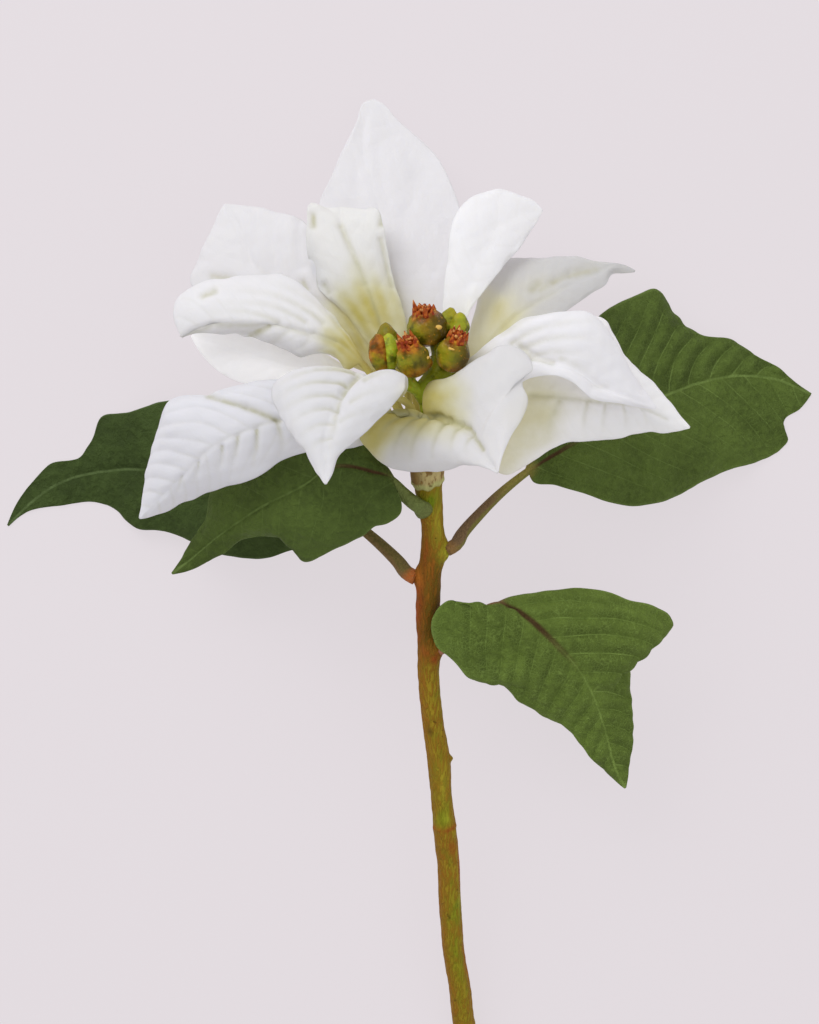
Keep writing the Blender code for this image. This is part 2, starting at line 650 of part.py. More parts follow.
def add_piece(name, points, faces, finish):
    """Makes one closed mesh object, in metres, with its faces pointing out."""
    mesh = bpy.data.meshes.new(name)
    mesh.from_pydata([tuple(point) for point in np.asarray(points) * MM], [], faces)
    work = bmesh.new()
    work.from_mesh(mesh)
    bmesh.ops.recalc_face_normals(work, faces=work.faces)
    work.to_mesh(mesh)
    work.free()
    mesh.materials.append(finish)
    mesh.shade_smooth()
    piece = bpy.data.objects.new(name, mesh)
    bpy.context.scene.collection.objects.link(piece)
    return piece


def add_cyathia(finish):
    """Cups and their stalks, joined into one body."""
    parts = bpy.data.collections.new("cyathia parts")
    bpy.context.scene.collection.children.link(parts)
    solids = [cup_solid(cup) for cup in CUPS.values()]
    solids += [cup_stalk_solid(stalk) for stalk in CUP_STALKS[1:]]
    for number, (points, faces) in enumerate(solids):
        piece = add_piece(f"cyathia part {number}", points, faces, finish)
        bpy.context.scene.collection.objects.unlink(piece)
        parts.objects.link(piece)
    cyathia = add_piece("cyathia", *cup_stalk_solid(CUP_STALKS[0]), finish)
    join = cyathia.modifiers.new("join", "BOOLEAN")
    join.operation = "UNION"
    join.operand_type = "COLLECTION"
    join.collection = parts
    join.solver = "EXACT"
    graph = bpy.context.evaluated_depsgraph_get()
    joined = bpy.data.meshes.new_from_object(cyathia.evaluated_get(graph))
    cyathia.modifiers.clear()
    cyathia.data = joined
    for piece in list(parts.objects):
        bpy.data.objects.remove(piece)
    bpy.data.collections.remove(parts)


def main():
    for piece in list(bpy.data.objects):
        bpy.data.objects.remove(piece)
    finishes = {
        "leaf": material("leaf green", (0.035, 0.085, 0.012), 0.6),
        "bract": material("bract white", (0.86, 0.86, 0.82), 0.6),
    }
    add_piece("stem", *stem_solid(), material("stem bark", (0.26, 0.2, 0.05), 0.55))
    for name, blade in BLADES.items():
        kind = name.split("_")[0]
        add_piece(name, *blade_solid(blade, KINDS[kind]), finishes[kind])
    add_cyathia(material("cyathium green", (0.2, 0.24, 0.04), 0.4))
    red = material("stamen red", (0.5, 0.06, 0.02), 0.5)
    for name, cup in CUPS.items():
        if cup["open"]:
            add_piece(f"stamens_{name}", *crown_solid(cup), red)


main()
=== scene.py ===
from math import cos, pi, radians, sin

import bpy
import numpy as np
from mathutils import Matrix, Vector


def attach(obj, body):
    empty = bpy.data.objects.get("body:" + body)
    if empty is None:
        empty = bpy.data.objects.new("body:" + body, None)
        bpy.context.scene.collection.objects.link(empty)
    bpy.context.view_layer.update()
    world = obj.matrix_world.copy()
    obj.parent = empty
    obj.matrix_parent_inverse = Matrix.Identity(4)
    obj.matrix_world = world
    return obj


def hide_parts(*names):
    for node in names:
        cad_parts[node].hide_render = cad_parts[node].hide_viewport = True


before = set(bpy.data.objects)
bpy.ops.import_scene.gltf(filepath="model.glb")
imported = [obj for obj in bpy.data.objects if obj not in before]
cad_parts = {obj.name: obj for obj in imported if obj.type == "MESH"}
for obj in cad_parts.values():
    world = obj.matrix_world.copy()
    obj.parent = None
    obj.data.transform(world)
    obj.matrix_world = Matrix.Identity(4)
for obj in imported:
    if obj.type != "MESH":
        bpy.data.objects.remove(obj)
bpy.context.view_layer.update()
print("frame loaded")

mm = 0.001  # the tables below are in millimetres, as in the solids

# the view: straight down on the stem that lies on its back
viewing = {"height": 1.25, "alongStem": 0.028, "lens": 88.44, "sensor": 24.0}

# for each kind of blade: how fine its surface is, how thick the sheet and its edge are, the stalk's radius at
# the stem and at the blade's foot, and how far the stalk leans up the stem where it starts
kinds = {
    "leaf": {"rows": 156, "stalkRows": 24, "across": 84, "sheet": 0.5, "edge": 0.26, "stalk": (2.4, 1.6),
             "lean": 1.0, "tip": 0.35},
    "bract": {"rows": 140, "stalkRows": 16, "across": 80, "sheet": 0.45, "edge": 0.22, "stalk": (1.15, 1.15),
              "lean": 0.0, "tip": 0.35},
}
knuckleLength = 3.2  # half length of the swelling of the stem under a leaf's stalk

# x, y, z and radius down the middle of the stem, from its head to the cut end
stemLine = [
    (5, 58, 52, 4.3), (5.5, 51, 52, 4.8), (5.5, 41.5, 51.5, 5.1), (6, 36.5, 50.5, 4.5),
    (6.5, 32, 49.5, 4.0), (7, 25.5, 48, 3.5), (7.5, 16, 45.5, 3.8), (6.5, 8, 43.5, 3.5),
    (6, 0, 41.5, 3.8), (6, -13, 38.3, 3.5), (6.5, -29.5, 34.3, 3.4), (7.5, -39, 32, 3.4),
    (9.5, -52, 29, 3.7), (10.5, -65.5, 26, 3.4), (11.5, -74.5, 23.5, 3.7), (13, -92, 19, 3.6),
    (13.5, -105.5, 15.8, 3.6), (15, -119, 12.5, 3.5), (17, -132.5, 9, 3.6), (18, -140.5, 6.5, 3.6),
    (20.5, -153, 4, 3.6), (23, -163.5, 3.5, 3.6),
]

# the blades: where the stalk leaves the stem (y, degrees round it), then the points of its curves
blades = {
    "leaf_left_back": {
        "root": (7, 190), "knuckle": 2.2, "bow": 0.06,
        "stalk": [(-3.6, 12, 39.5), (-7, 15.4, 37.5), (-11, 19, 35.3)],
        "midrib": [(-16, 23, 33), (-35.5, 30.5, 26), (-55.5, 36, 18), (-75.5, 40.5, 9), (-96, 42, 1.5),
            (-116, 37.5, 0), (-133, 23.5, 0)],
        "left": [(-21, 20, 30), (-38, 16.5, 24), (-48, 13.5, 20), (-58.5, 14.5, 16), (-71, 18.5, 9),
            (-82.5, 22.5, 4), (-89, 23, 3), (-97.5, 29.5, 0), (-104, 31.5, 0), (-116, 30.5, 0),
            (-127.5, 28, 0)],
        "right": [(-19, 30.5, 31), (-32, 45, 28), (-48.5, 58, 23), (-67, 64.5, 14), (-79.5, 64, 7),
            (-92.5, 60.5, 2), (-102, 59, 0), (-105, 52, 0), (-109, 46, 0), (-119, 43.5, 0),
            (-124, 38.5, 0), (-129, 32, 0)],
    },
    "leaf_left_front": {
        "root": (28.3, 125), "knuckle": 0.8, "thick": (2.5, 1.9), "bow": 0.08,
        "stalk": [(1, 31.2, 54.2), (-2.2, 34, 54.7)],
        "midrib": [(-6.2, 37.8, 57.2), (-14, 41.5, 58), (-23.5, 42.5, 57), (-34.5, 36, 53),
            (-47.5, 29.5, 46), (-61, 20.5, 37), (-72.5, 11.5, 28), (-77, 8, 26)],
        "left": [(-2.2, 33.2, 58.2), (-2.2, 29.4, 57), (-6.5, 26, 54.5), (-11, 25.2, 52.4),
            (-15.5, 21.5, 50), (-22, 17.5, 48), (-28.5, 14.5, 45), (-35, 12.5, 42), (-38.5, 16, 42),
            (-41.5, 19, 42), (-47.5, 20, 40), (-54.5, 18.5, 36), (-61, 15, 32), (-69.5, 10, 28)],
        "right": [(-7.5, 40, 56), (-12, 45, 55), (-18, 50, 53), (-25.5, 52, 51), (-36.5, 51, 48),
            (-47, 48, 44), (-56, 42, 39), (-63, 34.5, 35), (-66.5, 25.5, 32), (-71, 16.5, 28)],
    },
    "leaf_right": {
        "root": (16, 0), "knuckle": 1.8, "thick": (2.2, 1.2), "bow": 0.08,
        "stalk": [(17, 21.2, 42.5), (22.5, 27.4, 41), (29.7, 34.4, 38.2)],
        "midrib": [(38, 41, 35), (53.5, 50.5, 31), (68.5, 59.5, 24), (82.5, 65.5, 17), (95.5, 70.5, 10),
            (109, 73, 4), (121, 72, 0), (133, 67, 0)],
        "left": [(39, 44, 35), (43.5, 51, 34), (48.5, 64, 32), (52.5, 79, 29), (59.5, 89, 24),
            (68.5, 96, 18), (75.5, 99, 14), (80.5, 100.5, 12), (83.5, 98.5, 10), (87.5, 93, 8),
            (92, 87.5, 6), (96, 85.5, 5), (102.5, 85, 3.5), (109.5, 83, 1), (116, 79, 0),
            (122, 75.5, 0), (126.5, 71.5, 0)],
        "right": [(39, 39, 35), (47, 37.5, 33), (55, 35, 30), (63.5, 32, 26), (72, 30.5, 21),
            (82, 32, 16), (88.5, 34, 13), (95.5, 38, 10), (100.5, 40, 8), (107.5, 43, 5),
            (114.5, 45, 1.5), (122.5, 49, 0), (125, 52, 0), (124, 56, 0), (124.5, 59, 0),
            (129.5, 62.5, 0)],
    },
    "leaf_lower": {
        "root": (-16, 20), "knuckle": 1.5, "thick": (1.8, 1.4), "bow": 0.05,
        "stalk": [(13.5, -13.5, 39.5), (20.5, -6, 43)],
        "midrib": [(28, -2, 45), (35, -4, 48), (41.5, -9, 49), (48, -15.5, 48), (53, -21, 46),
            (58, -29, 42), (63, -42, 35), (67.5, -57, 28), (70, -61.5, 26)],
        "left": [(30.5, -0.5, 45), (35.5, 1, 46), (41.5, 2, 46), (51.5, 3, 44), (59.5, 2.5, 42),
            (71, -1, 38), (79, -3, 35), (83.5, -5.5, 33), (85, -9, 32), (83.5, -11.5, 32),
            (77.5, -15, 33), (70, -17.5, 34), (71, -24.5, 33), (71, -32.5, 32), (71.5, -42.5, 30),
            (71, -55.5, 27)],
        "right": [(22.5, -2.5, 47), (17.5, 0.5, 48), (13, 0.5, 48), (9, -3, 47), (7.5, -8, 46),
            (8.5, -13, 45), (14.5, -19, 44), (19.5, -24.5, 43), (23.5, -26.5, 42), (29, -27, 41),
            (35.5, -31.5, 39), (45, -38.5, 36), (52.5, -43, 34), (58.5, -50.5, 31), (63.5, -56, 28)],
    },
    "bract_01": {
        "root": (54.5, 255), "bow": -0.06,
        "stalk": [(2.5, 62, 44)],
        "midrib": [(0, 68.5, 43), (-2.5, 91.5, 38), (-5.5, 106, 33), (-8.5, 122, 27), (-13, 136, 20),
            (-15.5, 150, 12), (-11.5, 164, 6)],
        "left": [(-4.5, 73.5, 43), (-12.5, 86.5, 38), (-22.5, 103, 33), (-28.5, 119.5, 27),
            (-29, 129.5, 22), (-26, 136.5, 19), (-22, 146.5, 14), (-17.5, 155.5, 9), (-14.5, 163, 6.5)],
        "right": [(5, 76.5, 42), (11.5, 93, 38), (15.5, 109.5, 33), (16.5, 121, 28), (15.5, 127.5, 24),
            (13, 134.5, 20), (7.5, 145, 15), (0, 152.5, 11), (-5.5, 158, 9), (-8.5, 162, 7)],
    },
    "bract_02": {
        "root": (56, 225), "bow": 0.08,
        "stalk": [(-0.5, 65, 49)],
        "midrib": [(-4.5, 75, 48), (-12, 95.5, 46), (-16.5, 108, 44), (-20.5, 116, 41),
            (-22.5, 126, 36)],
        "left": [(-10, 79.5, 47), (-20.5, 92.5, 44), (-29.5, 100.5, 42), (-33, 112, 40),
            (-32.5, 121, 38), (-31.5, 126.5, 36), (-27, 126, 35)],
        "right": [(-1.5, 83, 48), (-2.5, 91, 46), (-5, 100.5, 44), (-6.5, 108.5, 43), (-8, 115, 42),
            (-9, 120, 41), (-10.5, 124, 39), (-16, 125.5, 37)],
    },
    "bract_03": {
        "root": (50.5, 205), "bow": 0.06,
        "stalk": [(-3, 60.5, 47)],
        "midrib": [(-11, 72.5, 45), (-25.5, 93.5, 42), (-38.5, 101, 39), (-49, 106.5, 35),
            (-53, 114.5, 31), (-57.5, 124.5, 26), (-60, 128, 24)],
        "left": [(-17.5, 75.5, 43), (-32, 84, 38), (-48, 90.5, 34), (-63, 96.5, 32), (-70.5, 102.5, 29),
            (-68, 110.5, 28), (-64, 119, 26), (-62, 124.5, 25)],
        "right": [(-12, 83, 45), (-20.5, 99, 42), (-29.5, 112, 38), (-35.5, 122.5, 34), (-40, 124, 32),
            (-45, 125.5, 30), (-51.5, 127, 27), (-56, 127.5, 25)],
    },
    "bract_04": {
        "root": (53.5, 170), "bow": 0.1,
        "stalk": [(-4.5, 62, 54), (-10.5, 69.5, 56)],
        "midrib": [(-15.5, 75.5, 57), (-22.5, 81.5, 59), (-31.5, 84.5, 60), (-42.5, 87, 60),
            (-53.5, 88, 58), (-66.5, 86.5, 54), (-72.5, 83.5, 51)],
        "left": [(-19, 74, 56), (-23.5, 78.5, 56), (-31, 78.5, 56), (-34.5, 77, 55), (-39.5, 80.5, 54),
            (-47, 83, 52), (-55.5, 85, 51), (-65, 85, 51)],
        "right": [(-19, 81, 57), (-26, 91.5, 56), (-33, 99, 54), (-41, 103, 52), (-47.5, 103, 51),
            (-55.5, 102, 50), (-65, 101, 49), (-70, 98.5, 49), (-73.5, 95.5, 49), (-74.5, 89.5, 50)],
    },
    "bract_05": {
        "root": (46, 185), "bow": 0.08,
        "stalk": [(-2.5, 54, 51.5)],
        "midrib": [(-7, 59, 51), (-22, 67.5, 49), (-38, 74.5, 46), (-54.5, 80, 42), (-70, 84.5, 38)],
        "left": [(-10, 57, 50.5), (-22, 62, 48), (-38, 66.5, 46), (-48, 68.5, 44), (-56, 70.5, 42),
            (-60.5, 73, 41), (-65.5, 77.5, 40)],
        "right": [(-10, 63.5, 50.5), (-22, 74.5, 48), (-38, 83.5, 44.5), (-54.5, 88, 41),
            (-65.5, 88.5, 38.5)],
    },
    "bract_06": {
        "root": (44, 150), "bow": 0.08,
        "stalk": [(-1.5, 52.5, 55.5)],
        "midrib": [(-5.5, 56.5, 57.5), (-22, 58.5, 63), (-40.5, 57, 66), (-51.5, 53.5, 66),
            (-62, 48.5, 64), (-70, 41, 60), (-79.5, 32, 53), (-86, 26, 48)],
        "left": [(-8, 52.5, 57.5), (-19, 49, 60), (-32.5, 47, 62), (-41, 44, 61), (-47, 40.5, 60),
            (-53.5, 38, 58), (-61.5, 35.5, 55), (-73, 30.5, 50), (-80, 27.5, 48)],
        "right": [(-8, 61, 57), (-19, 66, 58.5), (-31.5, 69, 60), (-43, 69.5, 61), (-50.5, 68.5, 60),
            (-58, 66.5, 59), (-64, 64.5, 58), (-70.5, 64.5, 56), (-76.5, 62.5, 55), (-79, 55.5, 53),
            (-83, 45, 51), (-84.5, 32, 48)],
    },
    "bract_07": {
        "root": (55.5, 120), "bow": 0.2,
        "stalk": [(0.5, 61, 59)],
        "midrib": [(-3.5, 64, 64), (-8.5, 68.5, 69), (-13.5, 70.5, 75), (-18.5, 68, 82), (-22, 63, 88),
            (-25, 56, 93), (-25.5, 36.5, 101)],
        "left": [(-2.5, 64.5, 68), (-1, 67, 74), (-1.5, 70, 79), (-2.5, 65.5, 84), (-6, 60.5, 88),
            (-14.5, 52, 93), (-22, 45, 97), (-24, 39, 100)],
        "right": [(-9, 66.5, 67), (-20, 69.5, 68), (-31, 72, 70), (-39.5, 70.5, 73), (-42, 66.5, 77),
            (-40.5, 59.5, 82), (-37, 53.5, 88), (-30, 44, 95), (-27.5, 39.5, 98)],
    },
    "bract_08": {
        "root": (49, 75), "bow": 0.12,
        "stalk": [(5, 53, 61)],
        "midrib": [(5.5, 56.5, 63), (11.5, 56, 68), (16, 54, 73), (19, 51.5, 78), (22, 47, 85),
            (27, 40, 95)],
        "left": [(4.5, 63, 62.5), (6, 67.5, 64), (12.5, 70, 68), (21.5, 75.5, 72), (29.5, 79.5, 75),
            (35.5, 77.5, 77), (38, 72, 79), (35, 68, 80), (36.5, 62.5, 82), (34.5, 56.5, 85),
            (31, 51, 88), (28.5, 45.5, 92)],
        "right": [(-1, 57.5, 64), (-7, 60.5, 64), (-11, 57, 64), (-15, 52, 64), (-12, 47.5, 65),
            (-6, 42.5, 66), (0.5, 41, 68), (10.5, 41, 72), (17.5, 42.5, 80), (21.5, 42.5, 87)],
    },
    "bract_09": {
        "root": (43.5, 0), "bow": 0.08,
        "stalk": [(13, 49.5, 52.5)],
        "midrib": [(16, 56, 55), (28.5, 62, 56), (39.5, 64.5, 56), (52, 64.5, 55), (57, 63, 54),
            (68.5, 60.5, 52), (75, 60, 50), (81.5, 58, 48), (89.5, 55, 45)],
        "left": [(17.5, 62, 53), (28.5, 72.5, 52), (41.5, 81, 51), (52.5, 87.5, 49), (60, 89.5, 47),
            (69.5, 77, 46), (80, 66, 45), (86.5, 58, 45)],
        "right": [(19, 49, 55), (25.5, 42.5, 54), (30.5, 40.5, 53), (36.5, 43, 52), (41.5, 46, 51),
            (48.5, 50.5, 50), (60.5, 51, 49), (73.5, 53.5, 47), (83, 54, 45)],
    },
    "bract_10": {
        "root": (54, 35), "bow": 0.1,
        "stalk": [(11, 59.5, 57)],
        "midrib": [(15.5, 66, 60), (25.5, 74, 63), (34, 79, 65), (42.5, 75.5, 66), (50.5, 73, 66),
            (60, 67.5, 63), (69.5, 64, 60), (78, 61, 56)],
        "left": [(15.5, 70.5, 59), (21.5, 77.5, 61), (28.5, 83.5, 63), (35.5, 88.5, 64),
            (47.5, 90.5, 63), (56, 90.5, 61), (60, 88, 60), (65, 80.5, 59), (69.5, 73, 58),
            (75, 65.5, 56)],
        "right": [(22, 66, 62), (30, 67, 65), (38.5, 70.5, 68), (46.5, 71, 68), (50.5, 69.5, 68),
            (57.5, 64, 66), (66.5, 62.5, 62), (74.5, 61, 57)],
    },
    "bract_11": {
        "root": (48.5, 345), "bow": 0.06,
        "stalk": [(13, 57.5, 48)],
        "midrib": [(17, 65.5, 46), (25.5, 81.5, 43), (35.5, 92, 40), (43.5, 97, 38), (53.5, 102.5, 35),
            (61.5, 106, 32), (65.5, 108, 31), (73, 106, 27)],
        "left": [(17, 73.5, 44), (21, 89.5, 38), (24.5, 103, 33), (29.5, 108.5, 30), (39, 109.5, 29),
            (52, 110, 29), (61.5, 109, 30), (68, 108.5, 29)],
        "right": [(25.5, 75, 46), (35.5, 83, 44), (45, 89, 41), (54, 95.5, 37), (59, 99, 35),
            (63, 101.5, 33), (65.5, 105, 31), (69.5, 105.5, 29)],
    },
    "bract_12": {
        "root": (55.5, 315), "bow": 0.08,
        "stalk": [(11.5, 63.5, 48)],
        "midrib": [(14, 70.5, 48), (17, 89.5, 46), (22, 105.5, 43), (29.5, 118.5, 37), (43, 125.5, 30)],
        "left": [(12, 79.5, 47), (11.5, 92.5, 45), (12.5, 105.5, 42), (13.5, 115, 40),
            (15.5, 123.5, 37), (19.5, 128.5, 35), (22.5, 130, 34), (29, 131.5, 32), (35.5, 130, 31),
            (40.5, 128, 30)],
        "right": [(16.5, 79.5, 48), (18.5, 91, 47), (24, 99, 44), (29, 105.5, 40), (37, 115.5, 34),
            (40.5, 121.5, 31)],
    },
}

# cyathia: where each cup stands, where it opens, and its radius
cups = {
    "top": {"foot": (6.2, 81.5, 58.5), "mouth": (4.7, 91, 63), "radius": 6.4, "open": True},
    "left": {"foot": (-7, 73, 61), "mouth": (-8.5, 86, 62.5), "radius": 4.8, "open": False},
    "front": {"foot": (2.5, 71.5, 65), "mouth": (-0.5, 80.5, 70), "radius": 5.5, "open": True},
    "right": {"foot": (12.5, 73.5, 61.5), "mouth": (15, 82.5, 67.5), "radius": 5.2, "open": True},
    "back": {"foot": (13, 81, 56.5), "mouth": (14.5, 92, 59), "radius": 4.4, "open": False},
}

# stalks of the cups: x, y, z and radius
cupStalks = [
    [
        (4.5, 59, 53.5, 0.9), (4, 62.5, 54.5, 1.1), (3.5, 66, 56, 2.4), (5.5, 69, 57.5, 2.4),
        (8.5, 73, 59, 2.6), (9.5, 78, 60, 2.6), (8, 83, 60, 2.4),
    ],
    [(5, 68, 57, 2.2), (8.5, 71, 59, 2.2), (12, 72.5, 60.5, 2.3), (13.5, 75, 61.5, 2.5)],
    [(3, 66.5, 57, 1.9), (0.5, 69, 60, 1.7), (-0.5, 71.5, 63, 1.7), (1, 74, 65.5, 2.2)],
    [(2.5, 66.5, 57, 1.8), (-1.5, 68.5, 60, 1.6), (-5.5, 71.5, 61, 1.7), (-7, 74.5, 61, 2)],
    [(8, 75.5, 59, 2.2), (11, 78.5, 58.5, 2.2), (13.5, 82, 57.5, 2.4)],
]

# Relief and colour of each blade. "spacing", "groove" and "lean" are those of its side veins: how far
# apart, how deep on the left and on the right of the midrib, and how far they lean towards the tip. "wave"
# and "pucker" are how uneven the sheet is at large and at small, "ribGroove" how deep the midrib lies, and
# "soft" how rounded the fold along it is. A crease is a groove as seen from above: x and y of both ends, its
# depth and its half width. A branch starts at a vein, swings to its left by its fifth number and fades out.
# On a bract, "green" is how far the yellow green runs up from the foot, "ribLine" and "veinLine" how plainly
# those lines are drawn, and the crease line how dark the painted shade along its creases is. Its white is the
# cloth's colour made lighter or darker per bract as painted light and shade, and "glow" is a painted glow, an
# emission that lightens a bract lying in shade.
# On a leaf, the tone goes from 0, dark, to 1, light, partly the leaf's own green and partly painted light and
# shade for how lit it lies. "vein" is how pale the side veins are and the fold numbers how dark the painted
# shade in the hollows between them is, left and right, and "net" how plain the fine net is. The midrib is
# brown along the length "brownRib" and half as wide as "brownWide" says. "stalk" has a colour near the stem,
# one near the foot and one for the far side, and "rootColour" is where the stalk meets the stem.
veinDefaults = {
    "leaf": {"spacing": 8.5, "groove": (0.55, 0.55), "lean": 0.75, "wave": 0.6, "pucker": 0.12,
             "ribGroove": 0.4, "soft": 0.03, "net": 0.1, "vein": (0.35, 0.35), "fold": (0.1, 0.1),
             "creases": [], "branches": []},
    "bract": {"spacing": 5.8, "groove": (0.3, 0.3), "lean": 0.75, "wave": 0.5, "pucker": 0.07,
              "ribGroove": 0.4, "soft": 0.05, "green": 18.0, "ribLine": 0.2, "veinLine": 0.1,
              "creaseShadeLine": 0.75, "glow": 0.0, "white": (0.76, 0.755, 0.77), "creases": [], "branches": []},
}
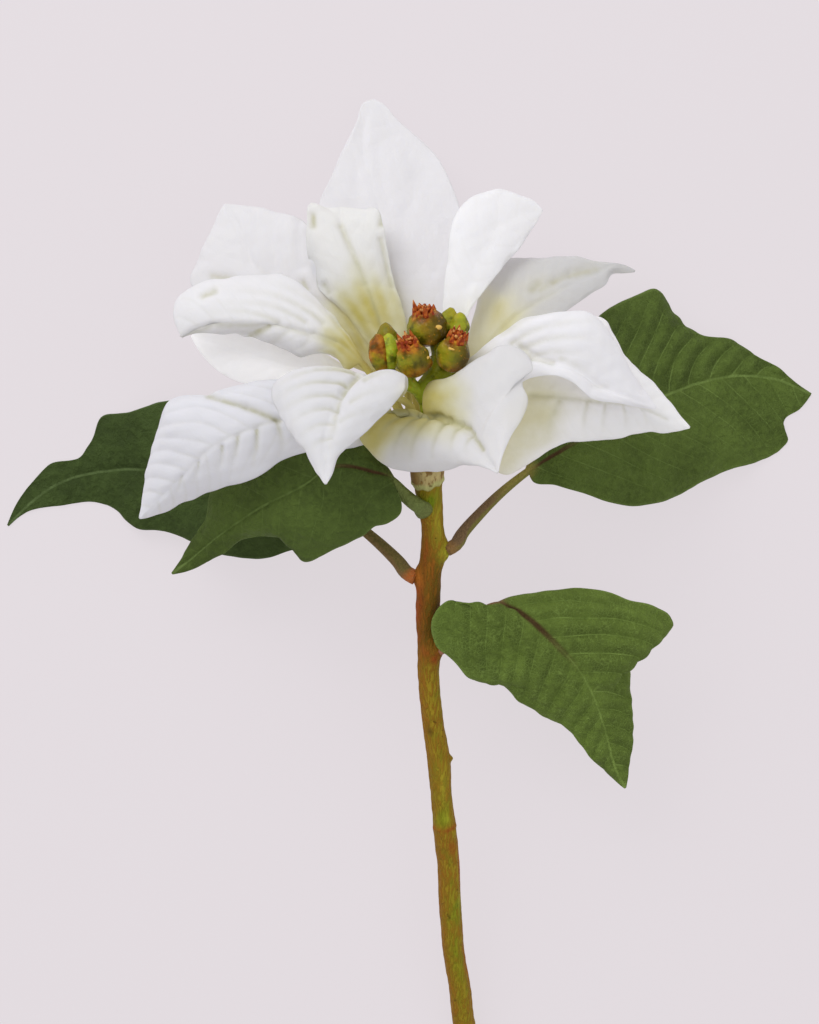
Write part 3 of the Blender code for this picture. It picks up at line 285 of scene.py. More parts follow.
reliefs = {
    "leaf_left_back": {
        "toneAndShade": 0.0, "stalk": ((0.19, 0.12, 0.045), (0.19, 0.13, 0.045), (0.15, 0.13, 0.035)),
        "brownRib": 20.0, "brownWide": 1.1, "vein": (0.15, 0.15), "net": 0.05,
        "rootColour": (0.5, 0.13, 0.025),
    },
    "leaf_left_front": {
        "toneAndShade": 0.3, "stalk": ((0.16, 0.2, 0.06), (0.15, 0.18, 0.05), (0.11, 0.13, 0.03)),
        "brownRib": 22.0, "brownWide": 1.1, "vein": (0.25, 0.25), "groove": (0.5, 0.5), "ribGroove": 0.9,
        "net": 0.06, "fold": (0.15, 0.15), "rootColour": (0.15, 0.17, 0.05),
    },
    "leaf_right": {
        "toneAndShade": 0.42, "stalk": ((0.19, 0.12, 0.06), (0.3, 0.27, 0.06), (0.2, 0.2, 0.035)),
        "brownRib": 22.0, "brownWide": 1.1, "groove": (0.9, 0.7), "vein": (0.8, 0.6), "pucker": 0.18,
        "net": 0.25, "fold": (0.5, 0.12), "rootColour": (0.3, 0.16, 0.05),
        "creases": [(82, 69, 88, 80.5, 1.0, 2.0), (93.4, 69, 95, 78, 0.8, 1.8),
            (74, 64, 80, 79, 0.8, 1.8)],
    },
    "leaf_lower": {
        "toneAndShade": 0.68, "rootColour": (0.5, 0.22, 0.14),
        "stalk": ((0.3, 0.16, 0.09), (0.2, 0.13, 0.05), (0.2, 0.13, 0.05)), "brownRib": 30.0,
        "brownWide": 1.6, "spacing": 7.5, "groove": (0.9, 0.9), "ribGroove": 0.5, "vein": (1.0, 0.5),
        "net": 0.5, "pucker": 0.3, "fold": (0.35, 0.35),
        "creases": [(15, -1, 25, -10, 1.0, 2.5), (12, -10, 22, -14, 0.7, 2.2),
            (28, -10, 36, -20, 0.8, 2.5)],
    },
    "bract_01": {
        "spacing": 7.5, "groove": (0.15, 0.12), "wave": 0.8, "ribGroove": 0.15, "ribLine": 0.05,
        "veinLine": 0.0, "soft": 0.4, "white": (0.74, 0.735, 0.755),
        "creases": [(-19, 127, -16, 144.5, 0.4, 2.4), (-8, 123.5, -11, 146, 0.6, 3.5),
            (-2.5, 120, -5.5, 110.5, 0.4, 2.5), (14.5, 121, 8, 106, 0.6, 2.4),
            (3, 138, -1, 124, 0.4, 2.4)],
        "branches": [(-15.5, 127.5, -25, 130.5, 0.5, 0.3, 2), (-15.5, 134, -21.5, 137, 0.5, 0.3, 2),
            (-15, 141, -21.5, 143.5, 0.5, 0.3, 2), (-16, 122, -26, 124.5, 0.5, 0.3, 2)],
    },
    "bract_02": {
        "spacing": 7.0, "groove": (0.1, 0.1), "wave": 0.8, "green": 24.0, "ribGroove": 0.2,
        "ribLine": 0.6, "veinLine": 0.0, "soft": 0.2, "white": (0.78, 0.775, 0.75),
        "creases": [(-31, 123, -31, 120, 0.9, 1.6), (-8.5, 123, -9, 120, 0.9, 1.6),
            (-22, 119.5, -14, 101, 0.6, 1.6), (-9, 115, -5.5, 100.5, 0.6, 1.4),
            (-32, 102, -31, 101, 0.7, 1.4), (-27.5, 100.5, -26, 98.5, 0.7, 1.4)],
    },
    "bract_03": {
        "spacing": 6.5, "groove": (0.15, 0.15), "wave": 0.6, "green": 22.0, "veinLine": 0.0, "soft": 0.2,
        "white": (0.73, 0.725, 0.74), "ribLine": 0.1, "ribGroove": 0.3,
        "creases": [(-52, 124.5, -51.5, 108, 0.7, 2.0), (-43.5, 124, -44.5, 106, 1.0, 2.6),
            (-35.5, 121, -34, 107, 1.0, 2.2), (-66, 114.5, -56, 113.5, 0.25, 2.0),
            (-67, 110, -56, 109, 0.25, 2.0), (-63.5, 104, -57, 103, 0.7, 1.8),
            (-34, 101.5, -33, 99.5, 0.7, 1.5)],
    },
    "bract_04": {
        "spacing": 6.0, "groove": (0.1, 0.15), "wave": 0.5, "green": 12.0, "white": (0.78, 0.775, 0.79),
        "creases": [(-72, 83, -62.5, 87, 0.5, 1.4), (-62.5, 87, -41.5, 86.5, 0.5, 1.3),
            (-41.5, 86.5, -23.5, 81.5, 0.45, 1.4), (-50.5, 83.5, -44.5, 86, 1.0, 1.4),
            (-65.5, 96.7, -62, 98, 0.8, 1.8)],
        "branches": [(-27.5, 88, -58, 98, -3.5, 0.6, 1.4), (-33, 88, -58, 94, -2.5, 0.5, 1.3),
            (-41.5, 88, -63, 91, -1.8, 0.5, 1.3), (-22, 87, -46, 101.5, -2.5, 0.45, 1.5),
            (-45, 86.5, -59, 82, -0.8, 0.45, 1.2), (-37, 85.5, -46, 79, -0.6, 0.45, 1.2),
            (-30, 84.5, -35, 78, -0.5, 0.4, 1.1)],
    },
    "bract_05": {
        "groove": (0.12, 0.12), "wave": 0.4, "white": (0.9, 0.9, 0.905), "ribLine": 0.1, "veinLine": 0.03,
        "soft": 0.3, "glow": 0.16,
        "creases": [(-65.5, 81.5, -35, 74, 0.35, 2.2)],
    },
    "bract_06": {
        "spacing": 6.4, "groove": (0.12, 0.5), "wave": 0.45, "green": 15.0, "white": (0.755, 0.755, 0.8),
        "ribLine": 0.3, "veinLine": 0.15, "pucker": 0.1,
        "creases": [(-63.5, 64.5, -51.5, 61, 0.9, 1.4), (-51.5, 61, -41, 56.5, 1.0, 1.6)],
        "branches": [(-48, 53.5, -49.5, 43, 0.6, 1.1, 1.0), (-59, 48.5, -60.5, 41, 0.5, 0.8, 0.9),
            (-54, 51.5, -56, 43, 0.5, 0.9, 0.9), (-42, 56.5, -40, 47, 0.6, 1.0, 1.1),
            (-66.5, 43.5, -68.5, 37.5, 0.4, 0.6, 0.8), (-72, 39, -75, 33, 0.4, 0.5, 0.9)],
    },
    "bract_07": {
        "spacing": 5.0, "groove": (0.05, 0.05), "wave": 0.3, "green": 10.0, "white": (0.7, 0.7, 0.72),
        "ribLine": 0.1, "veinLine": 0.0, "soft": 0.12,
        "creases": [(-16, 70.5, -20.5, 65, 0.9, 1.2), (-20.5, 65, -22.5, 59, 0.6, 1.2)],
        "branches": [(-22.5, 59, -24.5, 46, 0.0, 0.5, 1.3), (-17, 71.5, -41, 67, -3.0, 0.9, 1.0),
            (-19.5, 67.5, -40.5, 63.5, -2.6, 0.9, 1.0), (-21.5, 63.5, -39, 59.5, -2.2, 0.8, 1.0),
            (-22.5, 59.5, -36, 55.5, -1.8, 0.7, 1.0), (-23.5, 55, -33, 51.5, -1.3, 0.6, 0.9),
            (-24, 50.5, -30, 47.5, -0.8, 0.5, 0.9), (-14, 69, -3, 71.5, 0.9, 0.6, 1.3),
            (-18, 62, -6, 66, 0.8, 0.4, 1.2), (-21, 56, -11, 59.5, 0.6, 0.35, 1.2)],
    },
    "bract_08": {
        "spacing": 6.0, "groove": (0.05, 0.05), "wave": 0.3, "green": 15.0, "white": (0.69, 0.685, 0.695),
        "ribLine": 0.3, "creaseShadeLine": 1.2, "veinLine": 0.0, "soft": 0.1,
        "creases": [(-15, 63.5, -3, 59, 0.6, 1.1), (-3, 59, 9.5, 58, 0.8, 1.1),
            (9.5, 58, 18.5, 54, 0.8, 1.1), (18.5, 54, 22.5, 47.5, 0.6, 1.1), (12.5, 61.5, 36, 78, 0.4, 3),
            (19, 59, 36, 68.5, 0.35, 2.6)],
        "branches": [(-6, 60.5, -13.5, 51, -1.8, 0.6, 0.9), (-1, 59, -10.5, 48, -2.2, 0.7, 0.9),
            (3.5, 58.5, -5, 46, -2.2, 0.8, 0.8), (8, 58.5, 0.5, 45.5, -2.0, 0.8, 0.8),
            (12.5, 57, 7, 45, -1.6, 0.8, 0.8), (16.5, 55.5, 13, 47.5, -1.1, 0.7, 0.8),
            (20, 52.5, 17.5, 47, -0.7, 0.6, 0.8)],
    },
    "bract_09": {
        "spacing": 6.2, "groove": (0.15, 0.15), "wave": 0.5, "green": 34.0, "white": (0.93, 0.92, 0.925),
        "ribLine": 0.3, "veinLine": 0.04, "glow": 0.07,
        "creases": [(38, 65, 60.5, 63, 0.7, 1.4), (60.5, 63, 73, 62, 0.6, 1.3),
            (73, 62, 82, 57.5, 0.5, 1.2)],
        "branches": [(56.5, 63, 55.5, 53, -0.5, 0.8, 1.0), (62.5, 62.5, 61.5, 53, -0.5, 0.7, 1.0),
            (68, 62, 68.5, 54, 0.4, 0.6, 1.0), (47.5, 63, 44, 52, -0.6, 0.8, 1.7),
            (74, 61, 75.5, 55, 0.4, 0.4, 0.9)],
    },
    "bract_10": {
        "spacing": 6.5, "groove": (0.1, 0.1), "wave": 0.5, "green": 14.0, "white": (0.89, 0.885, 0.92),
        "ribLine": 0.05, "veinLine": 0.0,
        "creases": [(34, 81, 38.5, 76.5, 0.6, 1.8), (38.5, 76.5, 45, 75, 0.6, 1.5),
            (58, 67.5, 62, 67.5, 0.25, 1.5)],
        "branches": [(32, 81, 60, 87, 3.0, 0.6, 1.4), (35, 79, 61, 81.5, 2.6, 0.6, 1.4),
            (39, 77, 60, 76, 1.8, 0.5, 1.4), (29, 84, 54, 92.5, 2.6, 0.45, 1.5),
            (47.5, 76, 58.5, 69, 1.0, 0.5, 1.5)],
    },
    "bract_11": {
        "groove": (0.12, 0.12), "wave": 0.5, "green": 30.0, "white": (0.55, 0.55, 0.55), "ribLine": 0.1,
        "veinLine": 0.0, "soft": 0.2,
        "creases": [(51.5, 104.5, 60, 106.5, 0.6, 1.85), (39.5, 99.5, 41.5, 101.5, 0.6, 1.8)],
        "branches": [(46, 102, 63, 108.5, 0.8, 0.7, 1.7), (42, 99.5, 56, 105, 0.8, 0.5, 1.8)],
    },
    "bract_12": {
        "spacing": 7.5, "groove": (0.06, 0.06), "wave": 0.3, "ribGroove": 0.05, "green": 18.0,
        "white": (0.89, 0.89, 0.905), "ribLine": 0.0, "veinLine": 0.04, "soft": 0.45,
        "creases": [(29, 128, 22, 96, 0.2, 2.5)],
    },
}

# Creases narrower than the shade width, in mm, also get painted shade, a darker line along them; wider ones
# are soft folds without it. A branch keeps this share of its depth at its end, and it widens and its painted
# shade pales on the way.
creaseLooks = {"creaseShadeWidth": 1.9, "creaseShadeShare": 0.7, "branchEnd": 0.15, "widening": 0.6, "paling": 0.4}

# What all blades share. Lengths in mm: how deep a stalk starts under the stem's skin and how far it stands
# out before it turns, the lengths of the waves in the sheet and in its veins, the height of the uneven edge,
# and the half widths of the midrib's groove and of the ridge under it. Shares: the part of the length that
# the sheet's cross direction is read from, the thickening of the stalk near the stem, and how far the side
# veins bend and are shifted from one side to the other. The relief fades in from the foot and out to the tip,
# and the grooves of the side veins fade in from the midrib (mm) and weaken towards the edge.
sheetLooks = {
    "rooted": 1.2, "standOut": 1.8, "steady": (0.1, 0.93), "stalkFlare": 0.25, "stalkFlareEnd": 0.25,
    "wave": 26.0, "pucker": 5.0, "edgeWave": 9.0, "edgeHeight": 0.25, "veinWave": 32.0, "veinWaver": 0.13,
    "veinBend": 0.35, "veinShift": 0.25, "ribHalf": 1.0, "ridgeHalf": 1.1, "ridge": 0.8,
    "fadeIn": 0.12, "fadeOut": 0.1, "creaseFadeIn": 0.08, "veinFadeIn": 3.0, "weaker": 0.7, "weakFrom": 0.7,
    "waveFrom": (0.15, 1.0), "edgeFrom": (0.8, 1.0), "thinFrom": (0.85, 1.0), "flattens": 0.1,
}

# The yellow green of a bract's foot: how strong along the blade and right at the stalk, where each fades (the
# first in shares of its length, the second in mm), how much sooner off the midrib, how it wanders, and its
# streaks. Then the drawn lines: half widths in mm, where the midrib's fades, how far from it the veins reach,
# and the plainest that the painted shade along a crease gets.
greenLooks = {
    "along": 0.65, "fades": (0.1, 1.8), "atStalk": 0.35, "stalkFades": (-3.0, 5.0), "offRib": 0.6,
    "wander": 2.0, "wanderLength": 14.0, "streak": 0.15, "streaks": 13,
    "ribHalf": 0.9, "ribFades": (0.3, 0.9), "veinHalf": 0.7, "veinReach": 12.0, "plainest": 0.9,
}

# where the bracts are olive, as seen from above: x and y in mm, how far it spreads, and how strong it is
olivePatches = [
    (-14, 92, 11, 1.0), (-19, 81, 8, 0.9), (-5, 95, 9, 0.35), (6.5, 62, 9.5, 0.8), (29, 92, 8, 0.5),
    (40, 57, 9, 0.4), (41, 101, 9, 0.2), (-17, 104, 7, 0.3),
]


# distance along a chain of points, as a share of its length
def chord(points):
    steps = np.linalg.norm(np.diff(points, axis=0), axis=1)
    along = np.concatenate([[0.0], np.cumsum(steps)])
    return along / along[-1]


# a smooth curve through the points: cubic pieces whose slopes come from the points on either side
def smooth(points, where):
    points = np.asarray(points, float)
    where = np.asarray(where, float)
    knots = chord(points[:, :3])
    spans = np.diff(knots)[:, None]
    slopes = np.diff(points, axis=0) / spans
    tangents = np.empty_like(points)
    tangents[1:-1] = (slopes[:-1] * spans[1:] + slopes[1:] * spans[:-1]) / (spans[1:] + spans[:-1])
    tangents[0] = 1.5 * slopes[0] - 0.5 * tangents[1]
    tangents[-1] = 1.5 * slopes[-1] - 0.5 * tangents[-2]
    piece = np.clip(np.searchsorted(knots, where, side="right") - 1, 0, len(points) - 2)
    span = spans[piece]
    t = ((where - knots[piece]) / span[:, 0])[:, None]
    start = (2 * t**3 - 3 * t**2 + 1) * points[piece] + (t**3 - 2 * t**2 + t) * span * tangents[piece]
    end = (3 * t**2 - 2 * t**3) * points[piece + 1] + (t**3 - t**2) * span * tangents[piece + 1]
    return start + end


def unit(vectors):
    return vectors / np.maximum(np.linalg.norm(vectors, axis=-1, keepdims=True), 1e-9)


# 0 below low, 1 above high, and a smooth rise between
def ease(value, low=0.0, high=1.0):
    value = np.clip((value - low) / (high - low), 0, 1)
    return value * value * (3 - 2 * value)


# 1 in the middle of a line or spot and fading to 0 over its half width
def bell(distance, halfWidth):
    return np.exp(-((distance / halfWidth) ** 2))


# a soft random surface: a few sine waves in random directions, the same on every run
def ripple(points, size, seed, count=7):
    rng = np.random.default_rng(seed)
    directions = unit(rng.normal(size=(count, 3))) * rng.uniform(0.6, 1.6, (count, 1)) * 2 * pi / size
    phases = rng.uniform(0, 2 * pi, count)
    return np.sin(points @ directions.T + phases).sum(-1) / count**0.5


# distance of each point from a curved line between two places, all seen from above, and how far along the
# line its nearest point is. The line swings off straight by a parabola, to its left by the sag.
def fromLine(points, x0, y0, x1, y1, sag):
    pieces = 1 if sag == 0 else 8
    t = np.linspace(0, 1, pieces + 1)[:, None]
    way = np.array([x1 - x0, y1 - y0], float)
    aside = np.array([-way[1], way[0]]) / max(np.hypot(*way), 1e-6)
    curve = np.array([x0, y0]) + way * t + aside * sag * 4 * t * (1 - t)
    nearest, share = np.full(points.shape[:2], 1e9), np.zeros(points.shape[:2])
    for number in range(pieces):
        step = curve[number + 1] - curve[number]
        off = points[..., :2] - curve[number]
        along = np.clip(off @ step / max(step @ step, 1e-6), 0, 1)
        distance = np.linalg.norm(off - along[..., None] * step, axis=-1)
        share = np.where(distance < nearest, (number + along) / pieces, share)
        nearest = np.minimum(nearest, distance)
    return nearest, share


# makes a mesh object at the origin that rides with the part; the facts are numbers for its material, one for
# each point
def makePiece(name, points, faces, finish, node, facts):
    mesh = bpy.data.meshes.new(name)
    mesh.from_pydata((np.asarray(points) * mm).tolist(), [], faces)
    for label, values in facts.items():
        layer = mesh.attributes.new(label, "FLOAT", "POINT")
        layer.data.foreach_set("value", np.ascontiguousarray(values, dtype=np.float32).ravel())
    mesh.materials.append(finish)
    mesh.shade_smooth()
    piece = bpy.data.objects.new(name, mesh)
    bpy.context.scene.collection.objects.link(piece)
    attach(piece, "root")
    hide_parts(node)


# several shapes, each a pair of points and faces, as one
def joined(shapes):
    points, faces, start = [], [], 0
    for shapePoints, shapeFaces in shapes:
        points.append(shapePoints)
        faces += [[corner + start for corner in face] for face in shapeFaces]
        start += len(shapePoints)
    return np.concatenate(points), faces


def stemAt(height):
    rows = np.array(stemLine)[::-1]
    return np.array([np.interp(height, rows[:, 1], rows[:, column]) for column in (0, 1, 2, 3)])


# the stalk starts inside the skin of the stem, or of its swelling, so that it looks grown on
def stalkPoints(blade, kind):
    height, turn = blade["root"]
    x, y, z, radius = stemAt(height)
    outward = np.array([cos(radians(turn)), 0.0, sin(radians(turn))])
    surface = np.array([x, y, z]) + outward * (radius + blade.get("knuckle", 0.0))
    first = unit(outward + np.array([0.0, kind["lean"], 0.0]))
    start = surface - outward * sheetLooks["rooted"]
    return np.array([start, surface + first * sheetLooks["standOut"], *blade["stalk"], blade["midrib"][0]])


# one leaf or bract with its stalk. Row by row it runs from the stem to the tip, column by column from the
# left edge over the midrib to the right edge. A point is the midrib plus its share of the way to the edge,
# bowed off that straight line by a parabola. The stalk's rows are round, and they ease into the thin sheet.
# The facts are numbers for each point that the materials read.
def bladeSurface(blade, kind, relief, seed):
    looks = sheetLooks
    rib3 = blade["midrib"]
    tip = rib3[-1]
    line = np.vstack([stalkPoints(blade, kind), rib3[1:]])
    foot = chord(line)[len(line) - len(rib3)]
    rows = np.linspace(0, 1, kind["rows"])
    where = np.concatenate([np.linspace(0, foot, kind["stalkRows"] + 1)[:-1], foot + (1 - foot) * rows])
    v = np.concatenate([np.zeros(kind["stalkRows"]), rows])
    rib = smooth(line, where)
    run = unit(np.gradient(rib, axis=0))
    leftPoints, rightPoints = [rib3[0], *blade["left"], tip], [rib3[0], *blade["right"], tip]
    left = smooth(leftPoints, v) - smooth(rib3, v)
    right = smooth(rightPoints, v) - smooth(rib3, v)
    steady = np.clip(v, *looks["steady"])
    across = smooth(leftPoints, steady) - smooth(rightPoints, steady)
    across = unit(across - run * (across * run).sum(1)[:, None])
    atStem, atFoot = blade.get("thick", kind["stalk"])
    stalk = atFoot + (atStem - atFoot) * np.clip(1 - where / foot, 0, 1)
    least = (kind["tip"] + (stalk - kind["tip"]) * (1 - v) ** 3)[:, None, None]
    s = np.linspace(-1, 1, kind["across"] + 1)
    side = np.where(s < 0, 1.0, -1.0)[None, :, None]
    reach = np.abs(s)[None, :, None]
    edge = np.where(s[None, :, None] < 0, left[:, None], right[:, None])
    rounded = np.sqrt(s**2 + relief["soft"] ** 2)
    toLeft, toRight = ((rounded - s) / 2)[None, :, None], ((rounded + s) / 2)[None, :, None]
    outward = across[:, None] * side
    facing = unit(np.cross(run[:, None], edge + outward * kind["tip"]) * side)
    bulge = blade["bow"] * 4 * reach**2 / (reach + relief["soft"]) * (1 - reach)
    bulge = bulge * np.linalg.norm(edge, axis=2, keepdims=True)
    leftEdge = left[:, None] + across[:, None] * least
    rightEdge = right[:, None] - across[:, None] * least
    sheet = rib[:, None] + toLeft * leftEdge + toRight * rightEdge + facing * bulge

    # where each point is on the blade: millimetres along the midrib from its foot, and square to it
    alongRib = np.concatenate([[0.0], np.cumsum(np.linalg.norm(np.diff(rib, axis=0), axis=1))])
    alongRib = (alongRib - alongRib[kind["stalkRows"]])[:, None]
    step = sheet - rib[:, None]
    forward = (step * run[:, None]).sum(2)
    fromRib = np.linalg.norm(step - forward[..., None] * run[:, None], axis=2)
    alongRib = alongRib + forward
    reach = reach[..., 0] + 0 * fromRib
    bent = alongRib - fromRib * (relief["lean"] + looks["veinBend"] * reach**2)
    phase = bent / relief["spacing"] + looks["veinShift"] * side[..., 0]
    phase = phase + looks["veinWaver"] * ripple(sheet, looks["veinWave"], seed + 20)

    # the sheet swells between the side veins and sinks along them, the midrib and the creases
    within = (ease(v, 0.0, looks["fadeIn"]) * ease(1 - v, 0.0, looks["fadeOut"]))[:, None]
    offVein = np.abs((phase + 0.5) % 1 - 0.5) * relief["spacing"]
    fade = within * ease(fromRib, 0.0, looks["veinFadeIn"])
    fade = fade * (1 - looks["weaker"] * ease(reach, looks["weakFrom"], 1.0))
    grooves = np.where(s < 0, *relief["groove"])
    height = grooves * (np.abs(np.sin(pi * phase)) ** 0.7 - 0.6) * fade
    height -= relief["ribGroove"] * bell(fromRib, looks["ribHalf"]) * within
    onSheet = ease(v, 0.0, looks["creaseFadeIn"])[:, None]
    creaseShade = np.zeros_like(height)
    straight = [(x0, y0, x1, y1, 0.0, depth, wide) for x0, y0, x1, y1, depth, wide in relief["creases"]]
    for kept, creases in ((1.0, straight), (creaseLooks["branchEnd"], relief["branches"])):
        for x0, y0, x1, y1, sag, depth, wide in creases:
            distance, share = fromLine(sheet, x0, y0, x1, y1, sag)
            faded = (1 - kept) * share
            depths = depth * (1 - faded)
            halfWidth = wide * (1 + creaseLooks["widening"] * faded)
            height -= depths * bell(distance, halfWidth) * onSheet
            # narrow creases also get painted shade: a darker line along them
            if wide < creaseLooks["creaseShadeWidth"]:
                drawn = depths * bell(distance, creaseLooks["creaseShadeShare"] * halfWidth)
                creaseShade = np.maximum(creaseShade, drawn * (1 - creaseLooks["paling"] * faded))
    height += relief["wave"] * ripple(sheet, looks["wave"], seed) * ease(reach, *looks["waveFrom"]) * within
    height += relief["pucker"] * ripple(sheet, looks["pucker"], seed + 50) * within
    nearEdge = ease(reach, *looks["edgeFrom"]) * within
    height += looks["edgeHeight"] * ripple(sheet, looks["edgeWave"], seed + 90) * nearEdge

    # the upper and lower faces: the round stalk eases into the thin sheet, and fades out in a ridge under it
    blend = ease(v, 0.0, looks["flattens"])[:, None]
    flare = (stalk * (1 + looks["stalkFlare"] * bell(where, foot * looks["stalkFlareEnd"])))[:, None]
    roundHalf = flare * np.sqrt(np.clip(1 - s**2, 0.02, 1))
    half = kind["sheet"] / 2 - (kind["sheet"] - kind["edge"]) / 2 * ease(reach, *looks["thinFrom"])
    ridge = (stalk[:, None] - kind["sheet"] / 2) * (1 - v)[:, None] * bell(fromRib, looks["ridgeHalf"])
    above = (1 - blend) * roundHalf + blend * half
    below = (1 - blend) * roundHalf + blend * (half + looks["ridge"] * ridge)
    normal = unit(np.cross(np.gradient(sheet, axis=1), np.gradient(sheet, axis=0)))
    middle = sheet + normal * height[..., None]
    normal = unit(np.cross(np.gradient(middle, axis=1), np.gradient(middle, axis=0)))
    top = middle + normal * above[..., None]
    bottom = middle - normal * below[..., None]
    bottom[..., 2] = np.maximum(bottom[..., 2], 0.0)
    top[..., 2] = np.maximum(top[..., 2], kind["sheet"])

    facts = {"veinPhase": phase, "fromRib": fromRib, "alongRib": alongRib, "reach": reach}
    facts["across"] = s + 0 * fromRib
    facts["fromStem"] = alongRib - alongRib[0].min()
    facts["stalkness"] = (1 - ease(v, 0.0, 0.05))[:, None] * (1 - ease(fromRib, 1.2 * stalk[:, None], 3.5))
    # painted shade in the hollows between the side veins, darker on one side of each vein
    if "fold" in relief:
        facts["fold"] = np.where(s < 0, *relief["fold"]) * (0.5 - 0.5 * np.sin(2 * pi * phase)) * fade
    if "green" in relief:
        green = greenLooks
        wander = green["wander"] * ripple(sheet, green["wanderLength"], seed + 7)
        fromFoot = alongRib + green["offRib"] * fromRib + wander
        own = green["along"] * (1 - ease(fromFoot, *(share * relief["green"] for share in green["fades"])))
        own = own + green["atStalk"] * (1 - ease(alongRib, *green["stalkFades"]))
        patches = [
            strong * bell(np.hypot(sheet[..., 0] - x, sheet[..., 1] - y), wide)
            for x, y, wide, strong in olivePatches
        ]
        streaks = 1 - green["streak"] + green["streak"] * np.sin(green["streaks"] * s + seed)
        facts["greenness"] = 1 - (1 - own) * (1 - np.max(patches, axis=0) * streaks)
        # the lines: the drawn midrib and veins, and the painted shade along the creases
        ribLine = relief["ribLine"] * bell(fromRib, green["ribHalf"])
        ribLine = ribLine * (1 - ease(v, *green["ribFades"]))[:, None]
        veins = relief["veinLine"] * bell(offVein, green["veinHalf"]) * bell(fromRib, green["veinReach"])
        shadedCreases = np.minimum(relief["creaseShadeLine"] * creaseShade, green["plainest"])
        facts["lines"] = np.maximum(np.maximum(ribLine, veins), shadedCreases) * onSheet
    return top, bottom, facts


# closes an upper and a lower grid into one thin solid
def closedShell(top, bottom):
    rows, columns = top.shape[:2]
    grid = np.arange(rows * columns).reshape(rows, columns)
    under = grid + rows * columns
    a, b, c, d = grid[:-1, :-1], grid[:-1, 1:], grid[1:, 1:], grid[1:, :-1]
    upper = np.stack([a, b, c, d], -1).reshape(-1, 4)
    lower = np.stack([a, d, c, b], -1).reshape(-1, 4) + rows * columns
    sides = [
        np.stack([grid[:-1, 0], grid[1:, 0], under[1:, 0], under[:-1, 0]], -1),
        np.stack([grid[1:, -1], grid[:-1, -1], under[:-1, -1], under[1:, -1]], -1),
        np.stack([grid[0, 1:], grid[0, :-1], under[0, :-1], under[0, 1:]], -1),
        np.stack([grid[-1, :-1], grid[-1, 1:], under[-1, 1:], under[-1, :-1]], -1),
    ]
    faces = np.concatenate([upper, lower, *sides])
    return np.concatenate([top.reshape(-1, 3), bottom.reshape(-1, 3)]), faces.tolist()


# two directions square to a line of points at each of them, and to each other
def squareTo(line):
    run = unit(np.gradient(line, axis=0))
    up = np.array([0.0, 0.0, 1.0]) if abs(run[0, 2]) < 0.8 else np.array([0.0, 1.0, 0.0])
    first = unit(np.cross(run, up))
    return first, np.cross(run, first)


# closes rings of points, row by row, into a tube with a flat face at each end
def closedTube(points):
    k = np.arange(points.shape[0] * points.shape[1]).reshape(points.shape[:2])
    n = np.roll(k, -1, axis=1)
    quads = np.stack([k[:-1], k[1:], n[1:], n[:-1]], -1).reshape(-1, 4).tolist()
    return points.reshape(-1, 3), quads + [k[0].tolist(), k[-1][::-1].tolist()]


# a pipe along a line: rings of points square to the line
def pipe(line, radii):
    first, second = squareTo(line)
    turns = np.arange(radii.shape[1]) * 2 * pi / radii.shape[1]
    ring = first[:, None] * np.cos(turns)[None, :, None] + second[:, None] * np.sin(turns)[None, :, None]
    return closedTube(line[:, None] + ring * radii[..., None])


